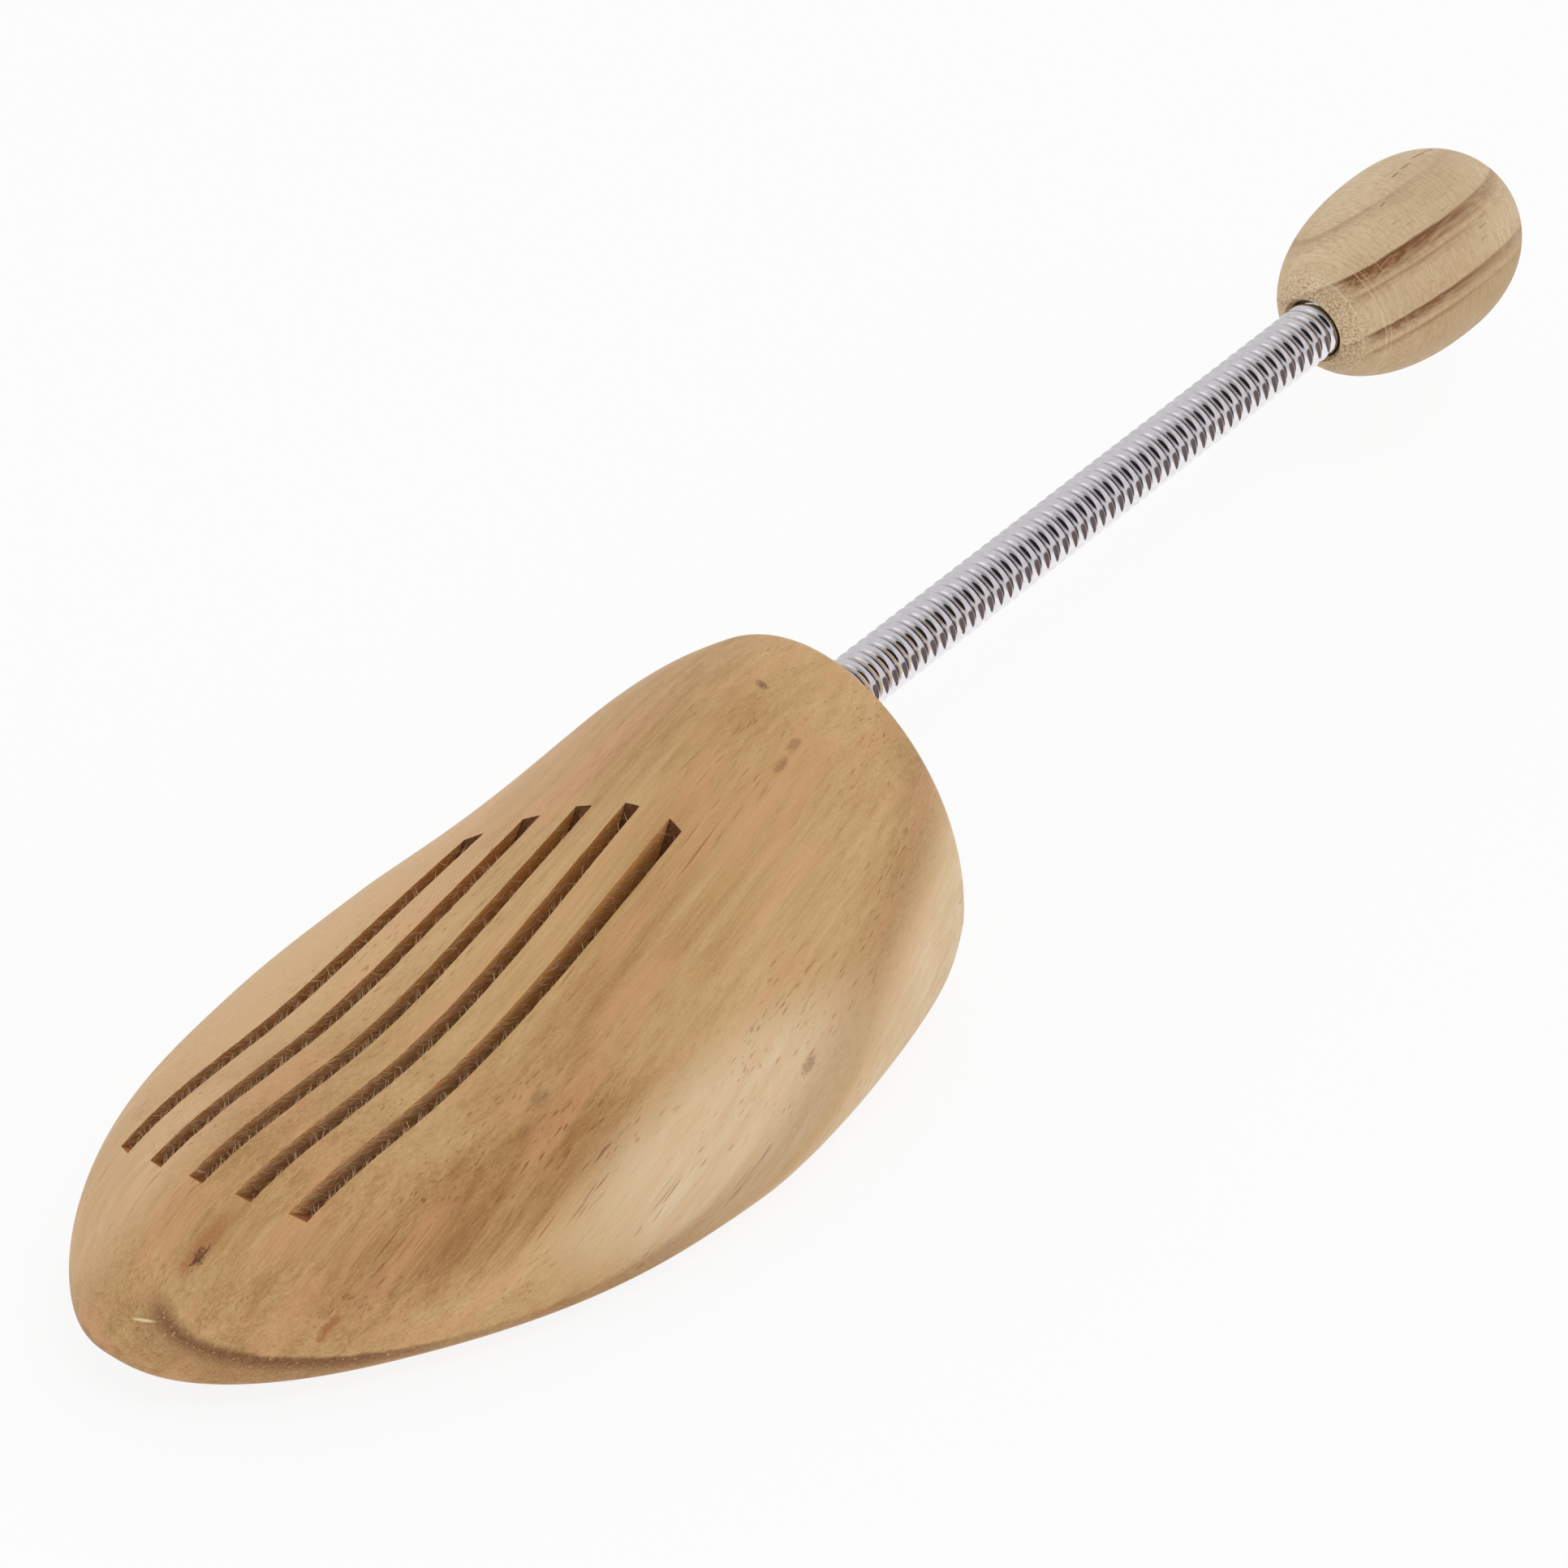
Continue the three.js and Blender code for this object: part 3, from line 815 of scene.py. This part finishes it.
sapwood = below_line.rise(0, 9) * from_rear.rise(112, 78) * on_flank
# Painted light: a pale zone on the lower outer flank, where more light falls.
painted_light_outer_flank = blotch(place, (68, 44, 19), (1, 0, -0.1), 48, 17)
print("growth line drawn")

# %% [markdown]
# Broad zones shift the tone, painted light makes the inner side paler, and a few mineral marks of this
# block are placed one by one.
# Each has its centre, direction, half length, half width and weight.

# %% Zones and marks
upper_patch = blotch(place, (25.5, -1.3, 52.8), (-0.85, 0.38, 0.26), 26, 12)
lower_patch = blotch(place, (105, 27.7, 23.2), (-0.98, 0.17, 0.14), 46, 11)
tone = 0.42 + (broad - 0.5) * 1.1 + (streaks - 0.5) * 1.0 + (fibres - 0.5) * 0.6 + (speckle - 0.5) * 0.45
tone = tone + upper_patch * 0.16 + lower_patch * 0.42 + at_toe * ((fibres - 0.5) * 0.6 + 0.08)
tone = tone + below_line.rise(0, 3) * from_rear.rise(125, 145) * 0.14

# Painted light: the inner side and the inner toe are made paler.
painted_light_inner_toe = blotch(place, (141, -20, 25), (-0.9, 0, 0.3), 34, 15)
painted_light_inner_side = strongest([side.rise(-8, -34) * 0.6, painted_light_inner_toe * 0.75])
# Sapwood is pale of itself, and the outer flank's share is painted light.
sapwood_and_painted_light = strongest([sapwood * 0.9, painted_light_outer_flank * 0.8])
streaky = 0.8 + (streaks - 0.5) * 1.6
specks = skin_nodes.clouds(place, 0.0, 0.5, 1.7).rise(0.74, 0.79) * line.rise(0.3, 0.6)
dashes = pores.rise(0.60, 0.74) * (0.16 + crowd.rise(0.44, 0.64) * 0.42 + lower_patch * 0.3)
scratch = blotch(place, (156.7, -0.9, 17.0), (-0.41, 0.91, 0.08), 2.4, 0.35)

MARKS = [
    ((146.6, 1.9, 24.9), FIBRE, 2.8, 1.1, 0.95),
    ((22.8, 16.0, 52.0), FIBRE, 2.2, 1.0, 0.42),
    ((18.7, 15.2, 53.2), FIBRE, 2.0, 1.1, 0.4),
    ((13.0, 3.8, 56.1), (0.2, 1, 0), 1.8, 0.8, 0.7),
    ((47.7, 42.7, 20.0), FIBRE, 3.0, 1.2, 0.45),
    ((89.0, 21.9, 29.3), FIBRE, 2.8, 1.7, 0.42),
    ((94.8, 23.5, 27.4), FIBRE, 2.6, 0.9, 0.3),
]
RUSSET_MARKS = [
    ((145.0, 1.2, 25.8), FIBRE, 9.0, 1.9, 0.75),
    ((137.7, 20.0, 14.0), FIBRE, 2.2, 1.0, 0.9),
    ((136.3, 20.6, 15.0), FIBRE, 1.5, 0.9, 0.85),
    ((138.6, 19.6, 12.6), FIBRE, 1.4, 0.8, 0.8),
    ((133.4, 22.6, 11.6), FIBRE, 1.2, 0.7, 0.6),
    ((145.0, 11.5, 18.4), FIBRE, 3.4, 0.9, 0.4),
    ((137.0, 11.8, 22.6), FIBRE, 3.6, 1.0, 0.35),
    ((98.2, 13.8, 29.9), FIBRE, 1.6, 1.1, 0.35),
]
frayed = (fibres - 0.5) * 2.6 + (speckle - 0.5) * 2.2


def marked(marks):
    return strongest([blotch(place, centre, direction, half_length, half_width, frayed) * weight
                      for centre, direction, half_length, half_width, weight in marks])


print("marks placed:", len(MARKS) + len(RUSSET_MARKS))

# %% [markdown]
# The tints are laid over each other from broad to fine. Pores are also a little deeper and duller.

# %% Finish of the sanded forefoot
colour = skin_nodes.paint(
    PALE, (tone * 2, HONEY), (tone * 2 - 1, WARM), (blush.rise(0.46, 0.66) * 0.5, PEACH),
    # Painted light on the inner side, then sapwood with painted light on the outer flank.
    (painted_light_inner_side * streaky, PAINTED_LIGHT_PEACH), (sapwood_and_painted_light * streaky, SAPWOOD_AND_PAINTED_LIGHT),
    (line * (0.85 + (fibres - 0.5) * 1.2), DARK_LINE), (specks * 0.5, PALE), (dashes, PORE),
    (marked(RUSSET_MARKS), RUSSET), (marked(MARKS), MARK), (scratch * 0.9, BARE))
roughness = 0.5 + dashes * 0.2 + (fibres - 0.5) * 0.14
surface(skin_nodes, colour, roughness, fibres * 0.6 - dashes * 1.2, 0.05, Specular_IOR_Level=0.35)
print("sanded finish with", len(skin_nodes.tree.nodes), "nodes")

# %% [markdown]
# Inside the slots the saw leaves raw wood: warmer, rougher, scored by the teeth in arcs about its axle,
# and fuzzy where it cuts across the fibres on the toe side. The floors of the cuts are dark brown with
# darker blotches.

# %% Finish of the sawn walls
place = wood_place(sawn_nodes)
along, through, across = axes = grain_axes(place, FIBRE, LAYER)
from_axle = place.vector("SUBTRACT", (saw_centre.x, 0, saw_centre.y)).vector("MULTIPLY", (1, 0, 1))
radius = from_axle.size()
score = sawn_nodes.clouds(sawn_nodes.triple(radius * 1.9, along * 0.05, across * 0.5), 2.0, 0.6)
fuzz = grain(axes, 0.45, 3.5, 3.0, 0.65)
toe_half = place.dot((1, 0, 0)).rise(60, 125)
colour = sawn_nodes.paint(seen(214, 158, 92), (score, seen(182, 124, 66)),
                          ((fuzz - 0.3) * (0.3 + toe_half * 0.8), seen(176, 142, 108)))
surface(sawn_nodes, colour, 0.85 + (fuzz - 0.5) * 0.2, fuzz + score * 0.8, 0.25, Specular_IOR_Level=0.2)
print("sawn finish with", len(sawn_nodes.tree.nodes), "nodes")

place = wood_place(dark_floor_nodes)
floor_blotches = dark_floor_nodes.clouds(place, 3.0, 0.7, 1.6)
toe_half = place.dot((1, 0, 0)).rise(60, 125)
# Slot floors: dark brown with darker blotches, paler towards the toe.
colour = dark_floor_nodes.paint(seen(120, 80, 48), (floor_blotches.rise(0.3, 0.7), seen(86, 56, 34)),
                           (toe_half * 0.8, seen(196, 132, 86)))
surface(dark_floor_nodes, colour, 0.9, floor_blotches, 0.4, Specular_IOR_Level=0.15)
print("floor finish with", len(dark_floor_nodes.tree.nodes), "nodes")

# %% [markdown]
# Holes are bored with a twist bit, which leaves fine rings and a darker, slightly burnt wall.

# %% Finish of the bored walls
place = wood_place(bored_nodes)
ring_place = bored_nodes.triple(place.dot((3.0, 0, 0)), place.dot((0, 0.2, 0)), 0.0)
tool_rings = bored_nodes.clouds(ring_place, 2.0)
colour = bored_nodes.mix(tool_rings, seen(150, 108, 66), seen(108, 72, 42))
surface(bored_nodes, colour, 0.8 + tool_rings * 0.1, tool_rings, 0.15, Specular_IOR_Level=0.2)
print("bored finish with", len(bored_nodes.tree.nodes), "nodes")

# %% [markdown]
# Torn fibres stand on the sawn walls, mostly in the toe half. They are thousands of tiny needles,
# so Geometry Nodes scatter them: points spread on the walls, each with a thin three-sided cone
# that leans along the grain by a random amount.

# %% Torn fibres in the slots
FIBRE_DENSITY, FIBRE_LENGTH, FIBRE_RADIUS, FIBRE_SEED = 1.9, 1.7, 0.05, 11


def geometry_tree(name, sizes):
    """A Geometry Nodes tree with one geometry input, named number inputs and one geometry output."""
    tree = bpy.data.node_groups.new(name, "GeometryNodeTree")
    tree.interface.new_socket("Geometry", in_out="INPUT", socket_type="NodeSocketGeometry")
    for size, kind in sizes.items():
        tree.interface.new_socket(size, in_out="INPUT", socket_type=kind)
    tree.interface.new_socket("Geometry", in_out="OUTPUT", socket_type="NodeSocketGeometry")
    nodes = Nodes(tree)
    given = nodes.node("NodeGroupInput")
    outputs = given.socket.node.outputs
    return nodes, {socket.name: Value(nodes, socket) for socket in outputs if socket.name}


def end_tree(nodes, geometry, material):
    made = nodes.node("GeometryNodeRealizeInstances", None, {"Geometry": geometry})
    made = nodes.node("GeometryNodeSetMaterial", None, {"Geometry": made, "Material": material})
    nodes.node("NodeGroupOutput", None, {"Geometry": made})


def grow(piece, nodes, sizes):
    """Runs a tree on a piece with the given sizes and keeps the result as a plain mesh."""
    modifier = piece.modifiers.new("grow", "NODES")
    modifier.node_group = nodes.tree
    for socket in nodes.tree.interface.items_tree:
        if socket.in_out == "INPUT" and socket.name in sizes:
            modifier[socket.identifier] = sizes[socket.name]
    settle(piece)


def fibre_tree(material):
    nodes, given = geometry_tree("torn_fibres", {"Density": "NodeSocketFloat", "Length": "NodeSocketFloat",
                                                 "Radius": "NodeSocketFloat", "Seed": "NodeSocketInt"})
    spot = nodes.node("GeometryNodeInputPosition")
    toe_share = (spot.dot((1 / MM, 0, 0)) - REAR_FACE).rise(45, 115)
    density = given["Density"] * (0.12 + toe_share)
    spread = {"Mesh": given["Geometry"], "Density": density, "Seed": given["Seed"]}
    scatter = nodes.node("GeometryNodeDistributePointsOnFaces", None, spread)
    outward = Value(nodes, scatter.socket.node.outputs["Normal"])
    wild = nodes.node("FunctionNodeRandomValue", {"data_type": "FLOAT_VECTOR"},
                      {0: (-0.7, -0.5, -0.7), 1: (0.7, 0.5, 0.7), "Seed": given["Seed"]})
    lean = outward.scaled(0.45).vector("ADD", FIBRE).vector("ADD", wild)
    turn = nodes.node("FunctionNodeAlignRotationToVector", {"axis": "Z"}, {"Vector": lean})
    needle = nodes.node("GeometryNodeMeshCone", {"fill_type": "NONE"},
                        {"Vertices": 3, "Radius Top": given["Radius"] * 0.3,
                         "Radius Bottom": given["Radius"], "Depth": given["Length"]})
    size = nodes.node("FunctionNodeRandomValue", {"data_type": "FLOAT"},
                      {2: 0.4, 3: 1.0, "Seed": given["Seed"] + 5})
    place_needles = {"Points": scatter, "Instance": needle, "Rotation": turn, "Scale": size}
    needles = nodes.node("GeometryNodeInstanceOnPoints", None, place_needles)
    end_tree(nodes, needles, material)
    return nodes


def walls_of(piece, material, name):
    """A copy of the faces that carry one material."""
    work = bmesh.new()
    work.from_mesh(piece.data)
    wanted = piece.data.materials.find(material.name)
    others = [face for face in work.faces if face.material_index != wanted]
    bmesh.ops.delete(work, geom=others, context="FACES")
    bmesh.ops.triangulate(work, faces=work.faces[:])
    mesh = bpy.data.meshes.new(name)
    work.to_mesh(mesh)
    work.free()
    return put(name, mesh)


fibre_finish, fibre_nodes = new_finish("torn_fibre")
place = fibre_nodes.node("ShaderNodeTexCoord", None, None, "Object")
tuft = fibre_nodes.clouds(place, 2.0, 0.6, 900.0)
colour = fibre_nodes.mix(tuft.rise(0.3, 0.7), seen(196, 160, 122), seen(218, 190, 156))
surface(fibre_nodes, colour, 0.8 + tuft * 0.1, Specular_IOR_Level=0.2)
fibres_piece = walls_of(forefoot, sawn_wood, "slot_fibres")
fibre_sizes = {"Density": FIBRE_DENSITY / MM ** 2, "Length": FIBRE_LENGTH * MM,
               "Radius": FIBRE_RADIUS * MM, "Seed": FIBRE_SEED}
grow(fibres_piece, fibre_tree(fibre_finish), fibre_sizes)
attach(fibres_piece, "forefoot")
print("torn fibres:", len(fibres_piece.data.polygons), "faces")

# %% [markdown]
# The heel knob is turned on a lathe: an egg, fuller behind, with a hole bored in its front end.
# Its half outline is spun round the spring's axis, and the poles and the bore belong to the same line.

# %% Turned knob
KNOB_RADIUS, KNOB_FRONT, KNOB_REAR, KNOB_FULLNESS = 16.85, 29.2, 22.5, 2.25
REAR_BORE_DEPTH, KNOB_SIDES, KNOB_STEPS = 21.7, 160, 64
rim_ahead = KNOB_FRONT * (1 - (rim_radius / KNOB_RADIUS) ** KNOB_FULLNESS) ** (1 / KNOB_FULLNESS)
knob_rim = REAR_FACE - SPRING_LENGTH
knob_widest = knob_rim - rim_ahead


def knob_radius(distance):
    """Radius at a distance ahead of the widest ring, negative behind it."""
    part = distance / KNOB_FRONT if distance > 0 else -distance / KNOB_REAR
    return KNOB_RADIUS * (1 - min(part, 1) ** KNOB_FULLNESS) ** (1 / KNOB_FULLNESS)


def knob_outline():
    """Places along the axis and radii, from just inside the rear pole to the bottom of the bore."""
    for step in range(1, KNOB_STEPS + 1):
        distance = -KNOB_REAR * math.cos(math.pi / 2 * step / KNOB_STEPS)
        yield knob_widest + distance, knob_radius(distance)
    for step in range(1, KNOB_STEPS + 1):
        distance = rim_ahead * math.sin(math.pi / 2 * step / KNOB_STEPS)
        yield knob_widest + distance, knob_radius(distance)
    yield knob_rim - RIM_ROUND, BORE_RADIUS
    yield knob_rim - REAR_BORE_DEPTH, BORE_RADIUS


outline = list(knob_outline())
points = []
for x, radius in outline:
    for side in range(KNOB_SIDES):
        turn = 2 * math.pi * side / KNOB_SIDES
        points.append((x, AXIS_Y + radius * math.cos(turn), AXIS_Z + radius * math.sin(turn)))
points += [(knob_widest - KNOB_REAR, AXIS_Y, AXIS_Z), (knob_rim - REAR_BORE_DEPTH, AXIS_Y, AXIS_Z)]
faces = bridge(len(outline), KNOB_SIDES)
final = (len(outline) - 1) * KNOB_SIDES
faces += [((side + 1) % KNOB_SIDES, side, len(points) - 2) for side in range(KNOB_SIDES)]
faces += [(final + side, final + (side + 1) % KNOB_SIDES, len(points) - 1) for side in range(KNOB_SIDES)]
knob_wood, knob_nodes = new_finish("knob_wood")
knob = mesh_piece("turned_knob", points, faces, knob_wood)
rework(knob, weld)
carve(knob, nail_hole("knob_nail"))
rework(knob, weld)
shade(knob, WOOD_SHARP)
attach(knob, "knob")
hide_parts("heel_knob")
print("knob:", len(knob.data.polygons), "faces, widest at", round(knob_widest, 1), "mm")

# %% [markdown]
# The knob comes from another plank: its fibres run along the lathe, and two dark and three faint
# growth layers cross it as stripes. The lathe leaves fine rings and chatter, the front end shows end grain,
# and a few short cracks follow the fibres.

# %% Finish of the knob
KNOB_LAYER = Vector((0, -0.6, 0.8))
STRIPES = [(6.4, 1.2, 3.8), (3.0, 0.35, 2.2), (-4.5, 1.0, 2.8), (-7.6, 0.35, 1.4), (13.6, 0.25, 2.4)]
LATHE_RINGS = [(2.4, 0.14, 0.4), (5.6, 0.12, 0.35), (6.4, 0.1, 0.3), (9.2, 0.1, 0.2)]
CRACKS = [(-30.4, -3.6, 1.6), (-27.0, -3.3, 1.0), (-35.2, -4.6, 2.2), (-38.6, -5.2, 1.6), (-19.0, 0.0, 0.8)]

place = wood_place(knob_nodes, (knob_rim, AXIS_Y, AXIS_Z))
along, through, across = axes = grain_axes(place, Vector((1, 0, 0)), KNOB_LAYER)
around = place.dot((0, 1, 0))
around = around.math("ARCTAN2", around, place.dot((0, 0, 1))) * KNOB_RADIUS
drift = grain(axes, 0.03, 0.1)
fibres = grain(axes, 0.12, 2.0, 3.0, 0.65)
pores = grain(axes, 0.2, 2.6, 1.0)
chatter = grain(axes, 2.6, 0.45, 3.0, 0.65)
grit = knob_nodes.clouds(place, 2.0, 0.7, 2.4)
front_end = along.rise(-5.0, -0.5)

layer = through + (drift - 0.5) * 1.2 + (fibres - 0.5) * 0.6
bands = []
edges = []
for level, weight, width in STRIPES:
    below = level - layer
    bands.append(below.rise(-0.25, 0.25) * below.rise(width, 0.4) * weight)
    edges.append(below.rise(-0.25, 0.1) * below.rise(0.8, 0.2) * weight)
towards_front = (0.45 + along.rise(-44, -12) * 0.6) * (1 - along.rise(-5, -2) * 0.75)
tone = 0.45 + (drift - 0.5) * 1.4 + (fibres - 0.5) * 0.7 + (grit - 0.5) * 0.5 + through.rise(2, -14) * 0.6
band = strongest(bands) * towards_front * (0.75 + (fibres - 0.5) * 1.5)
edge = strongest(edges) * towards_front * along.rise(-38, -16) * 0.7
rough_turned = (chatter - 0.42).most(0.0) * 1.3 * (1 - front_end)
rings = strongest([(along + behind).of("ABSOLUTE").rise(half, half * 0.3) * weight
                   for behind, half, weight in LATHE_RINGS])
dark_grit = (grit - 0.5).most(0.0) * front_end * 4
pale_grit = (0.46 - grit).most(0.0) * front_end * 4
dashes = pores.rise(0.66, 0.76) * 0.35
crooked = around + (fibres - 0.5) * 0.8
cracks = strongest([(along - x).of("ABSOLUTE").rise(half, half * 0.6)
                    * (crooked - spot).of("ABSOLUTE").rise(0.3, 0.1) for x, spot, half in CRACKS])
colour = knob_nodes.paint(
    seen(224, 200, 164), (tone, seen(198, 168, 128)), (band, seen(126, 77, 36)), (edge, seen(116, 72, 38)),
    (rough_turned, seen(150, 116, 82)), (rings, seen(232, 212, 178)), (dark_grit, seen(118, 88, 60)),
    (pale_grit, seen(236, 220, 190)), (dashes, seen(128, 94, 62)),
    (cracks * (0.5 + (grit - 0.5) * 1.5), seen(100, 70, 44)))
relief = fibres * 0.4 + chatter * 0.7 - dashes - cracks * 2
surface(knob_nodes, colour, 0.55 + (fibres - 0.5) * 0.12, relief, 0.06, Specular_IOR_Level=0.3)
print("knob finish with", len(knob_nodes.tree.nodes), "nodes")

# %% [markdown]
# The spring is one length of round wire wound as a right-hand helix, and a helix is a rule,
# so Geometry Nodes wind it: a straight rod of many short segments is bent onto the helix, point by point.
# It bends in use, so it is divided at the joints of the frame. A hinge moves the wire least where the wire
# crosses the hinge's axis, so the wire is cut there, and the two ends run a little into each other.
# A slide only draws turns apart, so the turns around it are wound as a piece of their own, which rides on
# neither body.

# %% Wind the spring
MEAN_RADIUS, WIRE_RADIUS, PITCH, OPENING = 4.05, 1.2, 2.5, 3.5
FRONT_NAIL_TURN, REAR_NAIL_TURN, FIRST_TURN, LAST_TURN = -6.0, 60.0, -8.5, 62.5
STEPS_PER_TURN, WIRE_SIDES = 48, 20
HINGE_LAP, TWIST_LAP, SLIDE_TURNS = 0.25, 0.45, 2.0
LEAD = math.atan(PITCH / (2 * math.pi * MEAN_RADIUS))


def spring_tree(material):
    """Wire from one turn to another. Past each nail the coil opens by one gap."""
    sizes = {"First Turn": "NodeSocketFloat", "Last Turn": "NodeSocketFloat",
             "Steps": "NodeSocketInt", "Wire Radius": "NodeSocketFloat"}
    nodes, given = geometry_tree("wound_wire", sizes)
    rod = nodes.node("GeometryNodeMeshCylinder", {"fill_type": "NGON"},
                     {"Vertices": WIRE_SIDES, "Side Segments": given["Steps"], "Radius": 1.0, "Depth": 1.0})
    spot = nodes.node("GeometryNodeInputPosition")
    outward = spot.dot((1, 0, 0)) * given["Wire Radius"]
    sideways = spot.dot((0, 1, 0)) * given["Wire Radius"]
    turn = given["First Turn"] + (given["Last Turn"] - given["First Turn"]) * (spot.dot((0, 0, 1)) + 0.5)
    opened = (turn - REAR_NAIL_TURN).within(0, 1) - (FRONT_NAIL_TURN - turn).within(0, 1)
    travel = turn * PITCH + opened * OPENING
    radius = outward + MEAN_RADIUS
    lean = sideways * math.sin(LEAD)
    cosine = (turn * (2 * math.pi)).of("COSINE")
    sine = (turn * (2 * math.pi)).of("SINE")
    x = REAR_FACE - travel + sideways * math.cos(LEAD)
    y = AXIS_Y + radius * cosine - lean * sine
    z = AXIS_Z - radius * sine - lean * cosine
    wound = nodes.triple(x, y, z).scaled(MM)
    # How far outward each point lies is kept for the shade painted between the turns.
    told = {"Geometry": rod, "Name": "outward", "Value": spot.dot((1, 0, 0))}
    rod = nodes.node("GeometryNodeStoreNamedAttribute", {"data_type": "FLOAT", "domain": "POINT"}, told)
    wire = nodes.node("GeometryNodeSetPosition", None, {"Geometry": rod, "Position": wound})
    end_tree(nodes, wire, material)
    return nodes


steel, steel_nodes = new_finish("spring_steel")
wire_tree = spring_tree(steel)


def wind(name, first_turn, last_turn):
    piece = put(name, bpy.data.meshes.new(name))
    steps = max(8, round((last_turn - first_turn) * STEPS_PER_TURN))
    grow(piece, wire_tree, {"First Turn": first_turn, "Last Turn": last_turn, "Steps": steps,
                            "Wire Radius": WIRE_RADIUS})
    rework(piece, weld)
    shade(piece, WIRE_SHARP)
    return piece


def axis_crossing(turn, axis):
    """The turn nearest to a given one at which the wire lies on a hinge's axis."""
    side = 0.25 if abs(axis[2]) > 0.5 else 0.0
    return round((turn - side) * 2) / 2 + side


def on_axis(turn):
    return (MM * (REAR_FACE - turn * PITCH), MM * AXIS_Y, MM * AXIS_Z)


joints = frame["joints"]
turns_between = SPRING_LENGTH / PITCH / len(joints)
wire_start = FIRST_TURN
for number, joint in enumerate(joints):
    middle = (number + 0.5) * turns_between
    if joint["type"] == "slide":
        cut_end, next_start = middle - SLIDE_TURNS / 2, middle + SLIDE_TURNS / 2
        slide = wind(f"spring_slide_{number + 1:02d}", cut_end, next_start)
        on_axis(cut_end)
        on_axis(next_start)
        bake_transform(slide)
    else:
        twists = abs(joint["axis"][0]) > 0.5
        cut = middle if twists else axis_crossing(middle, joint["axis"])
        lap = (TWIST_LAP if twists else HINGE_LAP) / (2 * math.pi * MEAN_RADIUS)
        cut_end, next_start = cut + lap, cut - lap
    coil = wind(f"spring_coil_{number:02d}", wire_start, cut_end)
    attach(coil, joint["parent"])
    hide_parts(f"spring_turns_{number:02d}")
    wire_start = next_start
coil = wind(f"spring_coil_{len(joints):02d}", wire_start, LAST_TURN)
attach(coil, joints[-1]["child"])
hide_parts(f"spring_turns_{len(joints):02d}")
slide_count = len([joint for joint in joints if joint["type"] == "slide"])
print("spring wound in", len(joints) + 1, "rigid stretches and", slide_count, "slides")

# %% [markdown]
# Bright drawn wire is nearly a mirror, and its polish varies. Shade is painted where turns touch,
# which follows the section of the wire, so the winding stored how far outward each point lies.
# The nails are duller bright steel, and keep the shape they have in the frame.

# %% Steel finishes
place = steel_nodes.node("ShaderNodeTexCoord", None, None, "Object").scaled(1 / MM)
polish = steel_nodes.clouds(place, 3.0, 0.6, 0.9)
outward = steel_nodes.node("ShaderNodeAttribute", {"attribute_name": "outward"}, None, "Fac")
# Painted shade between the turns: darker and rougher on the sides and inner half of the wire's section.
painted_crevice_shade = outward.rise(0.5, 0.1)
bright = steel_nodes.paint(seen(240, 237, 240), (polish.rise(0.3, 0.7), seen(229, 226, 230)),
                           (painted_crevice_shade * 0.85, seen(104, 99, 101)))
surface(steel_nodes, bright, 0.06 + (polish - 0.5) * 0.06 + painted_crevice_shade * 0.2, polish, 0.008, Metallic=1.0)

nail_steel, nail_nodes = new_finish("nail_steel")
place = nail_nodes.node("ShaderNodeTexCoord", None, None, "Object")
tarnish = nail_nodes.clouds(place, 3.0, 0.6, 700.0)
dull = nail_nodes.mix(tarnish, seen(176, 174, 172), seen(132, 128, 122))
surface(nail_nodes, dull, 0.3 + tarnish * 0.2, tarnish, 0.02, Metallic=1.0)
for node in ("forefoot_nail", "knob_nail"):
    shank = frame["nodes"][node]
    shank.data.materials.clear()
    shank.data.materials.append(nail_steel)
print("steel finishes on the spring and the nails")
